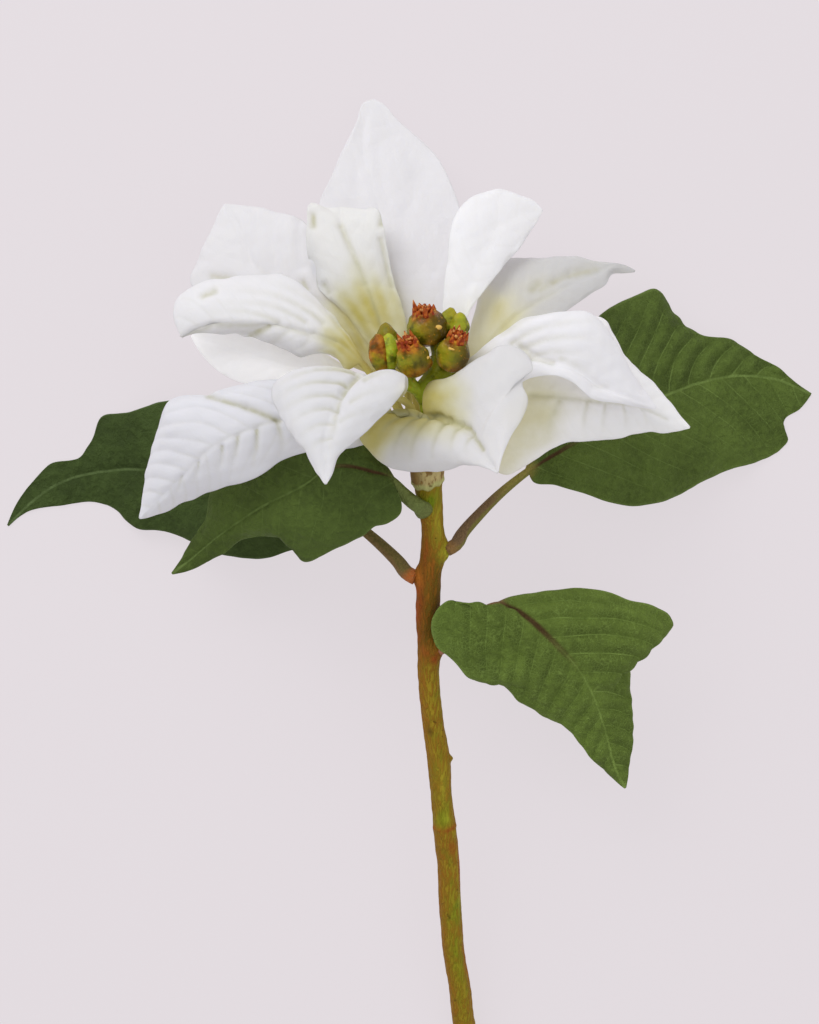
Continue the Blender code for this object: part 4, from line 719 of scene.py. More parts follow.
# A material, with short names for the nodes that its colour is built from. Its looks are named groups of
# numbers. For a ramp: where it starts and ends, then the amounts there if they aren't 0 and 1. For noise: its
# scale, its detail, and how it is stretched. A pattern is noise, then the ramp that makes patches of it.
class Paint:
    def __init__(self, name, looks):
        self.looks = looks
        self.material = bpy.data.materials.new(name)
        self.material.use_nodes = True
        self.tree = self.material.node_tree
        self.surface = self.tree.nodes["Principled BSDF"]
        self.set("Roughness", looks["roughness"])
        self.set("Specular IOR Level", looks["shine"])

    def set(self, label, value):
        self.surface.inputs[label].default_value = value

    def named(self, look):
        return self.looks[look] if isinstance(look, str) else look

    # puts a number, a colour or another node's result into a socket
    def give(self, socket, value):
        if isinstance(value, (int, float)):
            socket.default_value = value
        elif isinstance(value, tuple):
            socket.default_value = (*value, 1.0)
        else:
            self.tree.links.new(value, socket)

    def sum(self, operation, a, b):
        node = self.tree.nodes.new("ShaderNodeMath")
        node.operation = operation
        self.give(node.inputs[0], a)
        self.give(node.inputs[1], b)
        return node.outputs[0]

    def plus(self, a, b):
        return self.sum("ADD", a, b)

    def times(self, a, b):
        return self.sum("MULTIPLY", a, b)

    def ramp(self, value, look):
        low, high, start, end = (*self.named(look), 0.0, 1.0)[:4]
        node = self.tree.nodes.new("ShaderNodeMapRange")
        node.interpolation_type = "SMOOTHSTEP"
        self.give(node.inputs["Value"], value)
        for label, number in (("From Min", low), ("From Max", high), ("To Min", start), ("To Max", end)):
            node.inputs[label].default_value = number
        return node.outputs["Result"]

    def fact(self, label):
        node = self.tree.nodes.new("ShaderNodeAttribute")
        node.attribute_name = label
        return node.outputs["Fac"]

    def place(self):
        return self.tree.nodes.new("ShaderNodeTexCoord").outputs["Object"]

    def noise(self, look):
        scale, detail, stretch = (*self.named(look), (1, 1, 1))[:3]
        mapping = self.tree.nodes.new("ShaderNodeMapping")
        mapping.inputs["Scale"].default_value = stretch
        node = self.tree.nodes.new("ShaderNodeTexNoise")
        node.inputs["Scale"].default_value = scale
        node.inputs["Detail"].default_value = detail
        self.give(mapping.inputs["Vector"], self.place())
        self.give(node.inputs["Vector"], mapping.outputs["Vector"])
        return node.outputs["Fac"]

    def patches(self, look):
        grain, limits = self.looks[look]
        return self.ramp(self.noise(grain), limits)

    # distance to the nearest border in a net of cells
    def cells(self, scale):
        node = self.tree.nodes.new("ShaderNodeTexVoronoi")
        node.feature = "DISTANCE_TO_EDGE"
        node.inputs["Scale"].default_value = scale
        self.give(node.inputs["Vector"], self.place())
        return node.outputs["Distance"]

    def mix(self, amount, a, b):
        node = self.tree.nodes.new("ShaderNodeMix")
        node.data_type = "RGBA"
        for socket, value in ((node.inputs[0], amount), (node.inputs[6], a), (node.inputs[7], b)):
            self.give(socket, value)
        return node.outputs[2]

    def bump(self, height):
        node = self.tree.nodes.new("ShaderNodeBump")
        node.inputs["Strength"].default_value, node.inputs["Distance"].default_value = self.looks["bump"]
        self.give(node.inputs["Height"], height)
        self.give(self.surface.inputs["Normal"], node.outputs["Normal"])

    def finished(self, colour):
        self.give(self.surface.inputs["Base Color"], colour)
        return self.material


# "line" is the colour of the drawn lines and of the painted shade along the creases
bractColours = {"cream": (0.66, 0.64, 0.45), "foot": (0.5, 0.43, 0.11), "line": (0.41, 0.4, 0.22)}
bractLooks = {
    "roughness": 0.75, "shine": 0.25, "depth": 0.003, "depthAmount": 0.4, "depthByColour": (1.0, 0.95, 0.8),
    "through": (1.0, 0.98, 0.97, 1.0), "mottle": (260.0, 3.0), "mottleAmount": 0.35,
    "cream": (0.02, 0.6), "foot": (0.35, 1.1), "broken": ((330.0, 3.0), (0.3, 0.65, 0.65, 1.0)),
    "weave": (1500.0, 2.0), "threads": 800.0, "threadAmount": 0.6, "bump": (0.25, 0.0002),
}


# white cloth, its white made lighter or darker per bract as painted light and shade, cream and then yellow
# green where the blade's greenness says so, grey green along its drawn lines and as painted shade along its
# creases, with the grain of a fine weave. Some light goes into it, and a painted glow, an emission, lightens
# the bracts lying in shade.
def bractFinish(name, relief):
    looks = bractLooks
    paint = Paint(name, looks)
    paint.set("Subsurface Weight", looks["depthAmount"])
    paint.set("Subsurface Scale", looks["depth"])
    paint.set("Subsurface Radius", looks["depthByColour"])
    # painted glow: an emission that lightens bracts lying in shade
    paint.set("Emission Color", looks["through"])
    paint.set("Emission Strength", relief["glow"])
    mottle = paint.times(paint.sum("SUBTRACT", paint.noise("mottle"), 0.5), looks["mottleAmount"])
    greenness = paint.fact("greenness")
    worn = paint.plus(greenness, paint.times(mottle, greenness))
    # each bract's white, made lighter or darker for how lit it lies: painted light and shade
    colour = paint.mix(paint.ramp(worn, "cream"), relief["white"], bractColours["cream"])
    colour = paint.mix(paint.ramp(worn, "foot"), colour, bractColours["foot"])
    # grey green along the drawn lines, and painted shade along the creases
    lines = paint.times(paint.fact("lines"), paint.patches("broken"))
    colour = paint.mix(lines, colour, bractColours["line"])
    threads = paint.times(paint.cells(looks["threads"]), looks["threadAmount"])
    paint.bump(paint.plus(paint.noise("weave"), threads))
    return paint.finished(colour)


# tones are how bright each colour is against the leaf's own; the hollow tone is the painted shade between
# the side veins
leafColours = {"dark": (0.046, 0.072, 0.017), "light": (0.145, 0.212, 0.034), "rib": (0.075, 0.035, 0.015)}
leafTones = {"shade": 0.78, "sun": 1.2, "pucker": 1.5, "hollowShade": 0.35, "pale": 1.8, "grain": 1.6}
leafLooks = {
    "roughness": 0.65, "shine": 0.12, "bump": (0.7, 0.00035), "netBump": -0.3, "puckerBump": 1.5,
    "paleMore": 0.02,
    "blotch": ((60.0, 4.0), (0.3, 0.7)), "pucker": ((480.0, 3.0), (0.35, 0.65)), "puckerAmount": 0.3,
    "net": 900.0, "netLine": (0.0, 0.14, 1.0, 0.0), "broken": ((150.0, 2.0), (0.35, 0.6, 0.4, 1.0)),
    "sides": (-0.05, 0.05), "veinLine": (0.0, 0.06, 1.0, 0.0), "veinEnd": (0.6, 1.0, 1.0, 0.0),
    "edge": (0.965, 1.0, 0.0, 0.6), "ribLine": (0.2, 0.7, 1.0, 0.0), "brownEnd": (0.5, 1.3), "brownHalf": 0.4,
    "brownAmount": 0.95, "stalkTurn": (-18.0, -7.0), "ragged": (350.0, 2.0), "raggedAmount": 0.5,
    "farSide": (0.1, 0.6, 0.0, 0.85), "rooted": (1.5, 4.0, 0.9, 0.0),
    "grain": ((1500.0, 3.0), (0.35, 0.65, 0.0, 0.3)),
}


# leaf green, mottled, with painted shade in the hollows between the side veins, paler side veins, a fine net
# of veins, and a midrib that is brown near the stalk. The stalk changes colour along it and on its far side,
# and again where it meets the stem.
def leafFinish(name, relief):
    looks = leafLooks
    paint = Paint(name, looks)
    along, fromRib, reach = (paint.fact(label) for label in ("alongRib", "fromRib", "reach"))
    dark, light = (np.array(leafColours[label]) for label in ("dark", "light"))
    # the leaf's tone: partly its own green, partly painted light and shade for how lit it lies
    base = dark + (light - dark) * relief["toneAndShade"]
    shade, sun, puckered, hollowShade = (tuple(leafTones[t] * base) for t in ("shade", "sun", "pucker", "hollowShade"))
    pale = tuple(leafTones["pale"] * base + looks["paleMore"])
    colour = paint.mix(paint.patches("blotch"), shade, sun)
    pucker = paint.patches("pucker")
    colour = paint.mix(paint.times(pucker, looks["puckerAmount"]), colour, puckered)
    net = paint.ramp(paint.cells(looks["net"]), "netLine")
    broken = paint.patches("broken")
    # painted shade in the hollows between the side veins
    colour = paint.mix(paint.times(paint.fact("fold"), broken), colour, hollowShade)
    colour = paint.mix(paint.times(paint.times(net, relief["net"]), broken), colour, pale)
    offVein = paint.sum("PINGPONG", paint.fact("veinPhase"), 0.5)
    strong = paint.ramp(paint.fact("across"), (*looks["sides"], *relief["vein"]))
    fading = paint.times(paint.times(broken, strong), paint.ramp(reach, "veinEnd"))
    colour = paint.mix(paint.times(paint.ramp(offVein, "veinLine"), fading), colour, pale)
    colour = paint.mix(paint.ramp(reach, "edge"), colour, pale)
    colour = paint.mix(paint.times(paint.ramp(fromRib, "ribLine"), broken), colour, pale)
    start, end = (share * relief["brownRib"] for share in looks["brownEnd"])
    browned = paint.ramp(along, (start, end, looks["brownAmount"], 0.0))
    brown = paint.times(paint.ramp(fromRib, (looks["brownHalf"], relief["brownWide"], 1.0, 0.0)), browned)
    colour = paint.mix(brown, colour, leafColours["rib"])
    stalk = paint.mix(paint.ramp(along, "stalkTurn"), *relief["stalk"][:2])
    ragged = paint.times(paint.noise("ragged"), looks["raggedAmount"])
    ragged = paint.plus(paint.fact("across"), ragged)
    stalk = paint.mix(paint.ramp(ragged, "farSide"), stalk, relief["stalk"][2])
    stalk = paint.mix(paint.ramp(paint.fact("fromStem"), "rooted"), stalk, relief["rootColour"])
    grain = tuple(leafTones["grain"] * c for c in relief["stalk"][0])
    stalk = paint.mix(paint.patches("grain"), stalk, grain)
    colour = paint.mix(paint.fact("stalkness"), colour, stalk)
    sunk = paint.times(net, looks["netBump"] - relief["net"])
    paint.bump(paint.plus(sunk, paint.times(pucker, looks["puckerBump"])))
    return paint.finished(colour)


def buildBlades():
    for number, (node, blade) in enumerate(blades.items()):
        slot = node.split("_")[0]
        relief = {**veinDefaults[slot], **reliefs[node]}
        top, bottom, facts = bladeSurface(blade, kinds[slot], relief, 11 + number)
        points, faces = closedShell(top, bottom)
        doubled = {label: np.concatenate([values.ravel(), values.ravel()]) for label, values in facts.items()}
        name = node.replace("_", "")
        finish = (bractFinish if slot == "bract" else leafFinish)(name + "Skin", relief)
        makePiece(name, points, faces, finish, node, doubled)
    print("leaves and bracts done")


# the stem's own marks, in mm. Bumps: height, degrees round the stem, how far it stands out, half length.
# The scar of an old leaf is a warty ring. The collar is dried skin under the bloom, with a pale lip.
stemLooks = {
    "rows": 520, "sides": 64, "rib": 0.07, "fineRib": 0.6, "uneven": 0.14, "bumpHalf": 0.3,
    "bumps": [(-52.0, 8.0, 1.0, 0.9), (-20.0, 330.0, 0.4, 3.0), (-75.5, 40.0, 0.5, 1.2),
              (-74.0, 130.0, 0.4, 1.0)],
    "scar": -74.0, "scarRise": 0.3, "scarHalf": 0.9, "collar": 36.5, "collarRise": 0.4, "collarEdge": 0.3,
    "lip": 0.3, "lipAbove": 0.8, "lipHalf": 0.7,
    "grain": 0.06, "grainLength": 1.8, "grainStretch": (1, 0.4, 1),
}

# patches of colour on the stem: height, degrees round it, how strong, half length, and half width in radians
stemPatches = {
    "red": [(3.5, 165.0, 1.2, 3.5, 1.0), (0.0, 145.0, 0.9, 5.0, 0.6), (15.0, 125.0, 0.7, 6.0, 0.35),
            (-6.0, 160.0, 0.9, 8.0, 0.7), (-15.5, 95.0, 1.1, 1.8, 0.8), (-18.0, 60.0, 0.9, 2.5, 0.4),
            (10.0, 85.0, 0.5, 5.0, 0.3), (-89.0, 12.0, 0.9, 8.0, 0.35), (-117.0, 15.0, 0.7, 14.0, 0.3),
            (-66.0, 5.0, 0.6, 9.0, 0.3), (-60.0, 100.0, 0.4, 2.5, 0.5), (-80.0, 60.0, 0.6, 2.5, 0.6)],
    "orange": [(7.5, 170.0, 1.2, 2.4, 0.8), (5.5, 140.0, 0.8, 2.0, 0.4)],
    "yellow": [(15.5, 15.0, 1.0, 3.0, 0.7), (-70.5, 75.0, 1.0, 1.4, 0.4), (-98.0, 28.0, 0.8, 2.0, 0.3),
               (24.0, 60.0, 0.4, 8.0, 0.5), (-60.0, 80.0, 0.4, 6.0, 0.4)],
    "green": [(32.5, 100.0, 1.3, 3.0, 1.0), (-101.0, 55.0, 0.8, 6.0, 0.7), (-70.5, 110.0, 0.6, 4.0, 1.2),
              (-118.0, 85.0, 0.6, 16.0, 0.6), (-62.0, 130.0, 0.4, 12.0, 0.6)],
    "dark": [(-41.5, 112.0, 0.8, 1.5, 0.25), (-2.0, 40.0, 0.8, 9.0, 0.7), (-10.0, 90.0, 0.5, 8.0, 0.9),
             (3.0, 120.0, 0.5, 8.0, 0.25), (24.0, 175.0, 0.4, 6.0, 0.4)],
}


# the stem: a pipe whose radius follows its table, with fine ribs along it, swellings where stalks leave it,
# bumps, the scar, and the ragged collar
def buildStem():
    looks = stemLooks
    line = smooth(np.array(stemLine), np.linspace(0, 1, looks["rows"]))
    turns = (np.arange(looks["sides"]) * 2 * pi / looks["sides"] + pi)[None, :]
    height = line[:, 1][:, None]
    ribs = np.sin(5 * turns + 0.03 * height) + looks["fineRib"] * np.sin(11 * turns)
    radii = line[:, 3][:, None] + looks["rib"] * ribs
    radii = radii + looks["uneven"] * np.sin(height * 0.31) * np.sin(turns + 1.0 + height * 0.02)

    # how far round the stem each point is from this many degrees, in radians either way
    def awayFrom(degrees):
        return (turns - radians(degrees) + pi) % (2 * pi) - pi

    for blade in blades.values():
        y, turn = blade["root"]
        facing = np.clip(np.cos(awayFrom(turn)), 0, 1)
        radii = radii + blade.get("knuckle", 0.0) * bell(height - y, knuckleLength) * facing**4
    for y, turn, rise, wide in looks["bumps"]:
        radii = radii + rise * bell(height - y, wide) * bell(awayFrom(turn), looks["bumpHalf"])
    warts = 0.55 + 0.45 * np.sin(7 * turns + 2 * np.sin(3 * turns))
    radii = radii + looks["scarRise"] * bell(height - looks["scar"], looks["scarHalf"]) * warts
    ragged = looks["collar"] + 0.6 * np.sin(2 * turns + 1.0) + 0.3 * np.sin(7 * turns)
    collarStep = ease(height, ragged - looks["collarEdge"], ragged + looks["collarEdge"])
    radii = radii + looks["collarRise"] * collarStep
    radii = radii + looks["lip"] * bell(height - ragged - looks["lipAbove"], looks["lipHalf"])
    points, faces = pipe(line[:, :3], radii)
    centres = np.repeat(line[:, :3], looks["sides"], axis=0)
    grain = looks["grain"] * ripple(points * looks["grainStretch"], looks["grainLength"], 3)
    points = points + grain[:, None] * unit(points - centres)
    points[:, 2] = np.maximum(points[:, 2], 0.0)
    facts = {"sideways": np.cos(turns) + 0 * height, "aboveCollar": height - ragged + 0 * turns}
    for name, patches in stemPatches.items():
        facts[name] = np.zeros_like(radii)
        for y, turn, amount, tall, wide in patches:
            patch = amount * bell(height - y, tall) * bell(awayFrom(turn), wide)
            facts[name] = np.maximum(facts[name], patch)
    scar = bell(height - looks["scar"] - 0.4 * np.sin(3 * turns), looks["scarHalf"])
    facts["red"] = np.maximum(facts["red"], scar * (0.4 + 0.6 * warts))
    makePiece("stemBark", points, faces, stemFinish(), "stem", facts)
    print("stem done")


stemColours = {
    "olive": (0.33, 0.235, 0.016), "brown": (0.28, 0.105, 0.01), "greenish": (0.2, 0.215, 0.012),
    "dark": (0.1, 0.05, 0.006), "red": (0.36, 0.07, 0.012), "orange": (0.5, 0.16, 0.02),
    "cream": (0.62, 0.5, 0.22), "yellow": (0.48, 0.46, 0.035), "green": (0.2, 0.26, 0.01),
    "pale": (0.56, 0.57, 0.22), "husk": (0.25, 0.13, 0.03),
}
barkLooks = {
    "roughness": 0.6, "shine": 0.1, "bump": (0.7, 0.0004), "bumpGrain": (1600.0, 4.0, (1, 0.3, 1)),
    "streak": ((1700.0, 4.0, (1, 0.08, 1)), (0.42, 0.6)), "streakAmount": 0.65,
    "fleck": ((500.0, 3.0, (1, 0.3, 1)), (0.5, 0.66, 0.0, 0.45)), "left": (-1.0, 0.2, 0.6, 0.0),
    "betweenFrom": (-26.0, -10.0), "betweenTo": (8.0, 26.0, 0.7, 0.0),
    "broken": ((420.0, 4.0, (1, 0.4, 1)), (0.3, 0.6, 0.3, 1.0)),
    "torn": ((420.0, 3.0, (1, 0.6, 1)), (0.48, 0.6, 0.0, 0.85)), "tornSide": (-0.8, -0.1, 0.85, 0.0),
    "collar": (-0.2, 0.3), "lipFrom": (-0.5, 0.3), "lipTo": (1.0, 2.2, 0.85, 0.0),
    "speck": ((420.0, 2.0), (0.68, 0.74, 0.0, 0.6)),
}


# bark in streaks up the stem, olive and brown, browner on the left, partly its own colour and partly painted
# shade, dark and reddish between the leaves as painted shade streaked with its brown, with its patches, and
# cream with torn brown skin above the collar
def stemFinish():
    looks, colours = barkLooks, stemColours
    paint = Paint("stemBark", looks)
    split = paint.tree.nodes.new("ShaderNodeSeparateXYZ")
    paint.give(split.inputs[0], paint.place())
    y = paint.times(split.outputs["Y"], 1 / mm)
    streak = paint.patches("streak")
    colour = paint.mix(paint.times(streak, looks["streakAmount"]), colours["olive"], colours["brown"])
    colour = paint.mix(paint.patches("fleck"), colour, colours["greenish"])
    # browner on the left: partly the stem's own red brown, partly painted shade
    colour = paint.mix(paint.ramp(paint.fact("sideways"), "left"), colour, colours["brown"])
    # painted shade: darker between the leaves, where they lie over the stem, streaked with its own brown
    shade = paint.times(paint.ramp(y, "betweenFrom"), paint.ramp(y, "betweenTo"))
    betweenShade = paint.mix(streak, colours["dark"], colours["brown"])
    colour = paint.mix(shade, colour, betweenShade)
    broken = paint.patches("broken")
    for name in stemPatches:
        colour = paint.mix(paint.times(paint.fact(name), broken), colour, colours[name])
    collar = paint.fact("aboveCollar")
    tornSide = paint.ramp(paint.fact("sideways"), "tornSide")
    torn = paint.sum("MAXIMUM", paint.patches("torn"), tornSide)
    husk = paint.mix(torn, colours["cream"], colours["husk"])
    colour = paint.mix(paint.ramp(collar, "collar"), colour, husk)
    lip = paint.times(paint.ramp(collar, "lipFrom"), paint.ramp(collar, "lipTo"))
    colour = paint.mix(lip, colour, colours["pale"])
    colour = paint.mix(paint.patches("speck"), colour, colours["dark"])
    paint.bump(paint.plus(streak, paint.noise("bumpGrain")))
    return paint.finished(colour)


# outlines of an open cup, from its foot to its mouth and down inside, and of a closed bud: share of the
# height, share of the radius
openOutline = [
    (0.0, 0.45), (0.06, 0.7), (0.2, 0.92), (0.4, 1.0), (0.6, 0.97), (0.77, 0.84), (0.88, 0.68),
    (0.96, 0.6), (1.03, 0.57), (1.02, 0.46), (0.93, 0.4), (0.86, 0.25), (0.84, 0.05),
]
closedOutline = [
    (0.0, 0.4), (0.08, 0.62), (0.25, 0.88), (0.45, 1.0), (0.65, 0.93), (0.82, 0.7), (0.93, 0.42),
    (1.0, 0.08),
]

# painted shade: how dark each open cup is painted on its right side, the side turned from the light
cupLooks = {
    "rings": 60, "sides": 56, "lobe": 0.07, "lump": 0.22, "lumpLength": 4.5,
    "glandStand": 0.93, "glandThick": 0.7,
    "paintedShade": {"top": 0.9, "front": 0.5, "right": 0.9},
    "stalkRings": 40, "stalkSides": 24, "stalkLobes": 3, "stalkUneven": 0.06,
}

# closed buds crowd together: how far each stands from the cup's own line (x, y, z), its size against the cup,
# how bright a green it is, and how orange
budClusters = {
    "left": [((-1.7, -1.2, 1.0), 0.74, 0.5, 0.9), ((1.7, -0.8, 1.2), 0.66, 1.0, 0.1),
             ((0.9, 2.6, -1.5), 0.72, 0.1, 0.2)],
    "back": [((-1.3, 1.2, -0.5), 0.74, 0.6, 0.2), ((1.6, -0.4, 0.8), 0.76, 0.8, 0.3)],
}

# glands, small lips on the side of an open cup: degrees round it, share of its height, and size
glands = {
    "top": [(-55.0, 0.62, 1.3), (-150.0, 0.25, 1.7)],
    "front": [(-30.0, 0.5, 0.9)],
    "right": [(-100.0, 0.85, 1.0)],
}


# where a cup starts and ends, and two directions square to its line
def cupFrame(foot, mouth):
    foot, mouth = np.array(foot, float), np.array(mouth, float)
    first, second = (direction[0] for direction in squareTo(np.array([foot, mouth])))
    return foot, mouth, first, second


# a shape turned about its own line: its outline is smoothed, and soft lobes and lumps make it uneven
def turned(foot, mouth, radius, outline, seed, lobes=5):
    corners = np.array([(high, wide, 0.0) for high, wide in outline])
    shares = smooth(corners, np.linspace(0, 1, cupLooks["rings"]))
    foot, mouth, first, second = cupFrame(foot, mouth)
    turns = np.arange(cupLooks["sides"]) * 2 * pi / cupLooks["sides"]
    radii = radius * shares[:, 1:2] * (1 + cupLooks["lobe"] * np.cos(lobes * turns + seed) * shares[:, 0:1])
    around = first * np.cos(turns)[:, None] + second * np.sin(turns)[:, None]
    points = foot + (mouth - foot) * shares[:, None, 0:1] + around * radii[..., None]
    lumps = cupLooks["lump"] * ripple(points, cupLooks["lumpLength"], seed)
    return closedTube(points + lumps[..., None] * around)


def stalkSurface(stalk):
    line = smooth(np.array(stalk), np.linspace(0, 1, cupLooks["stalkRings"]))
    turns = np.arange(cupLooks["stalkSides"]) * 2 * pi / cupLooks["stalkSides"]
    uneven = 1 + cupLooks["stalkUneven"] * np.sin(cupLooks["stalkLobes"] * turns)[None, :]
    return pipe(line[:, :3], line[:, 3:] * uneven)


def buildCyathia():
    shapes, facts = [], {"brightness": [], "orange": [], "gland": [], "paintedShade": []}

    # every shape tells its material how bright a green, how orange and how yellow each of its points is, and
    # how dark towards the side that is turned from the light
    def add(shape, brightness, orange, gland=0.0, paintedShade=0.0):
        shapes.append(shape)
        for values, value in zip(facts.values(), (brightness, orange, gland, paintedShade)):
            values.append(np.broadcast_to(value, len(shape[0])))

    for number, (name, cup) in enumerate(cups.items()):
        foot, mouth, first, second = cupFrame(cup["foot"], cup["mouth"])
        if cup["open"]:
            shape = turned(foot, mouth, cup["radius"], openOutline, 5 + number)
            height = (shape[0] - foot) @ unit(mouth - foot) / np.linalg.norm(mouth - foot)
            east = ((shape[0] - foot)[:, 0] - height * (mouth - foot)[0]) / cup["radius"]
            # painted shade on the cup's right side, turned from the light, fading out at the mouth
            paintedShade = cupLooks["paintedShade"][name] * ease(east, -0.5, 0.8) * (1 - ease(height, 0.8, 1.0))
            orange = 0.3 + 0.4 * (1 - ease(height, 0.15, 0.6)) + 0.6 * ease(height, 0.75, 0.95)
            add(shape, 0.3, orange, 0.0, paintedShade)
            for turn, share, size in glands[name]:
                out = first * cos(radians(turn)) + second * sin(radians(turn))
                centre = foot + (mouth - foot) * share + out * cup["radius"] * cupLooks["glandStand"]
                ends = centre - first * size, centre + first * size
                add(turned(*ends, cupLooks["glandThick"] * size, closedOutline, 3, 2), 0.5, 0.2, 1.0)
            continue
        for offset, size, brightness, orange in budClusters[name]:
            centre = np.array(offset) + (foot + mouth) / 2
            half = (mouth - foot) / 2 * (0.55 + 0.45 * size)
            bud = turned(centre - half, centre + half, cup["radius"] * size, closedOutline, 9 + number, 3)
            add(bud, brightness, orange)
    for stalk in cupStalks:
        shape = stalkSurface(stalk)
        add(shape, 0.15 + 0.75 * ease(-shape[0][:, 1], -73.0, -65.0), 0.0)
    points, faces = joined(shapes)
    gathered = {label: np.concatenate(values) for label, values in facts.items()}
    makePiece("cyathiaCups", points, faces, cupFinish(), "cyathia", gathered)
    print("cyathia done")


cupColours = {
    "green": (0.16, 0.16, 0.006), "lime": (0.4, 0.5, 0.03), "brown": (0.24, 0.07, 0.005),
    "orange": (0.62, 0.26, 0.02), "yellow": (0.8, 0.5, 0.12), "dark": (0.045, 0.05, 0.003),
    "paintedShade": (0.085, 0.05, 0.004),
}
waxLooks = {
    "roughness": 0.22, "shine": 0.18, "bump": (0.6, 0.0008), "bumpGrain": (700.0, 4.0),
    "patch": ((170.0, 5.0), (0.25, 0.75)), "patchSpread": (0.0, 1.0, 0.3, 1.5),
    "hue": ((300.0, 3.0), (0.4, 0.75)),
    "hollowShade": ((300.0, 3.0), (0.25, 0.5, 0.8, 0.0)),
    "freckle": ((900.0, 2.0), (0.62, 0.72, 0.0, 0.5)), "glandAmount": 0.9,
}


# waxy olive green to bright green, blotched red brown and orange, with yellow glands, painted shade in dark
# patches like hollows, and painted shade on the side turned from the light
def cupFinish():
    looks, colours = waxLooks, cupColours
    paint = Paint("cyathiumWax", looks)
    colour = paint.mix(paint.fact("brightness"), colours["green"], colours["lime"])
    hue = paint.mix(paint.patches("hue"), colours["brown"], colours["orange"])
    patch = paint.ramp(paint.patches("patch"), "patchSpread")
    colour = paint.mix(paint.times(paint.fact("orange"), patch), colour, hue)
    # painted shade: dark patches standing in for shade in hollows, placed by noise
    colour = paint.mix(paint.patches("hollowShade"), colour, colours["dark"])
    # painted shade on the side turned from the light
    colour = paint.mix(paint.fact("paintedShade"), colour, colours["paintedShade"])
    colour = paint.mix(paint.patches("freckle"), colour, colours["orange"])
    gland = paint.times(paint.fact("gland"), looks["glandAmount"])
    colour = paint.mix(gland, colour, colours["yellow"])
    paint.bump(paint.noise("bumpGrain"))
    return paint.finished(colour)


# threads in the middle of a tuft and torn points round it, in mm: "fat" is how thick a thread is on its way
# to its swollen end, "turn" the angle from one thread to the next, and "bend" how far its end wanders
tuftLooks = {
    "threads": 16, "height": 2.6, "spread": 0.36, "thick": 0.42, "sunk": 0.9, "turn": 2.4, "bend": 0.5,
    "fat": (1, 1, 0.9, 0.85, 0.9, 1.1, 1.5, 1.45, 0.6), "sides": 10,
    "points": 8, "tall": (1.3, 4.2), "ring": 0.45, "pointSunk": 0.6, "pointThick": 1.15, "pointBend": 0.35,
}


# a tuft on an open cup: short bent threads with swollen ends, inside a ring of torn points
def buildTufts():
    looks = tuftLooks
    red = tuftFinish()
    steps = np.linspace(0, 1, len(looks["fat"]))[:, None]
    for number, (name, cup) in enumerate(cups.items()):
        if not cup["open"]:
            continue
        rng = np.random.default_rng(40 + number)
        foot, mouth, first, second = cupFrame(cup["foot"], cup["mouth"])
        axis = unit(mouth - foot)
        shapes = []
        for k in range(looks["threads"]):
            turn = k * looks["turn"]
            out = (first * cos(turn) + second * sin(turn)) * cup["radius"] * looks["spread"]
            out = out * ((k + 0.5) / looks["threads"]) ** 0.5
            tall = looks["height"] * rng.uniform(0.45, 1.0) + looks["sunk"]
            line = mouth - axis * looks["sunk"] + out * (0.85 + 0.3 * steps**2) + axis * tall * steps
            line = line + unit(rng.normal(size=3)) * looks["bend"] * steps**2
            fat = looks["thick"] * np.array(looks["fat"])
            shapes.append(pipe(line, np.tile(fat[:, None], looks["sides"])))
        for k in range(looks["points"]):
            turn = (k + 0.4 * rng.uniform(-1, 1)) * 2 * pi / looks["points"]
            out = first * cos(turn) + second * sin(turn)
            tall = rng.uniform(*looks["tall"]) + looks["pointSunk"]
            line = mouth - axis * looks["pointSunk"] + axis * tall * steps
            line = line + out * (looks["ring"] * cup["radius"] + 0.5 * steps)
            line = line + unit(rng.normal(size=3)) * looks["pointBend"] * steps**2
            fat = looks["pointThick"] * (1 - 0.9 * steps[:, 0] ** 1.3)
            shapes.append(pipe(line, np.tile(fat[:, None], looks["sides"])))
        points, faces = joined(shapes)
        facts = {"tipness": ease((points - mouth) @ axis, 0.8, 2.6)}
        makePiece("tuft" + name.capitalize(), points, faces, red, "stamens_" + name, facts)
    print("stamens done")


redLooks = {
    "roughness": 0.5, "shine": 0.2,
    "patch": ((800.0, 2.0), (0.42, 0.6)), "ends": ((600.0, 1.0), (0.52, 0.62)),
    "dark": (0.26, 0.03, 0.005), "bright": (0.5, 0.12, 0.015), "tip": (0.75, 0.42, 0.12),
}


# brick red, darker in patches, with some of the tips yellow
def tuftFinish():
    paint = Paint("stamenRed", redLooks)
    colour = paint.mix(paint.patches("patch"), redLooks["dark"], redLooks["bright"])
    ends = paint.times(paint.fact("tipness"), paint.patches("ends"))
    return paint.finished(paint.mix(ends, colour, redLooks["tip"]))


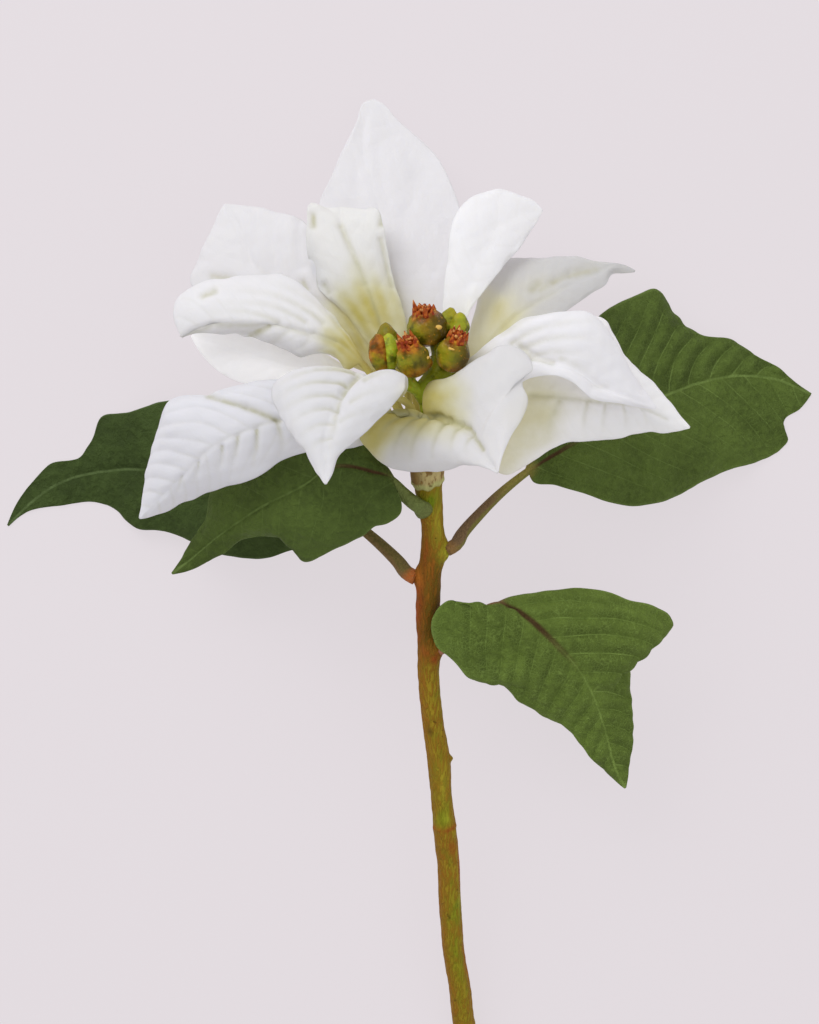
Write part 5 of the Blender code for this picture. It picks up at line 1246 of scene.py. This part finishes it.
# sizes and places in metres; a lamp has its place, its power in watts and its size, and faces "target"
studio = {
    "floor": 6.0, "sky": (1.0, 0.99, 1.0), "world": 0.59, "target": (0.0, 0.05, 0.03),
    "lamps": {"key": ((-0.5, 0.85, 0.8), 7.0, 0.8), "fill": ((0.6, -0.1, 1.2), 2.0, 1.2)},
}
paperLooks = {
    "roughness": 0.9, "shine": 0.5, "light": (0.11, 0.103, 0.107), "shade": 0.97, "grain": (3.0, 3.0),
    "glow": (0.66, 0.615, 0.642, 1.0),
}


# a pale pinkish floor like a light table, so that it takes only a weak shadow, soft light from all round and
# from up the stem, and the camera overhead
def buildStudio():
    half = studio["floor"] / 2
    mesh = bpy.data.meshes.new("floor")
    corners = [(-half, -half, 0), (half, -half, 0), (half, half, 0), (-half, half, 0)]
    mesh.from_pydata(corners, [], [(0, 1, 2, 3)])
    floor = bpy.data.objects.new("floor", mesh)
    bpy.context.scene.collection.objects.link(floor)
    paint = Paint("palePaper", paperLooks)
    shaded = tuple(paperLooks["shade"] * c for c in paperLooks["light"])
    paint.set("Emission Color", paperLooks["glow"])
    paint.set("Emission Strength", 1.0)
    mesh.materials.append(paint.finished(paint.mix(paint.noise("grain"), paperLooks["light"], shaded)))
    world = bpy.data.worlds.new("studio")
    bpy.context.scene.world = world
    world.use_nodes = True
    world.node_tree.nodes["Background"].inputs["Color"].default_value = (*studio["sky"], 1.0)
    world.node_tree.nodes["Background"].inputs["Strength"].default_value = studio["world"]
    for name, (place, power, size) in studio["lamps"].items():
        light = bpy.data.lights.new(name, "AREA")
        light.energy = power
        light.size = size
        lamp = bpy.data.objects.new(name, light)
        lamp.location = place
        towards = Vector(studio["target"]) - Vector(place)
        lamp.rotation_euler = towards.to_track_quat("-Z", "Y").to_euler()
        bpy.context.scene.collection.objects.link(lamp)
    camera = bpy.data.objects.new("camera", bpy.data.cameras.new("camera"))
    camera.data.sensor_fit = "VERTICAL"
    camera.data.sensor_height = viewing["sensor"]
    camera.data.lens = viewing["lens"]
    camera.location = (0.0, viewing["alongStem"], viewing["height"])
    bpy.context.scene.collection.objects.link(camera)
    bpy.context.scene.camera = camera
    bpy.context.scene.view_settings.view_transform = "Standard"
    print("floor, lights and camera done")


buildBlades()
buildStem()
buildCyathia()
buildTufts()
buildStudio()
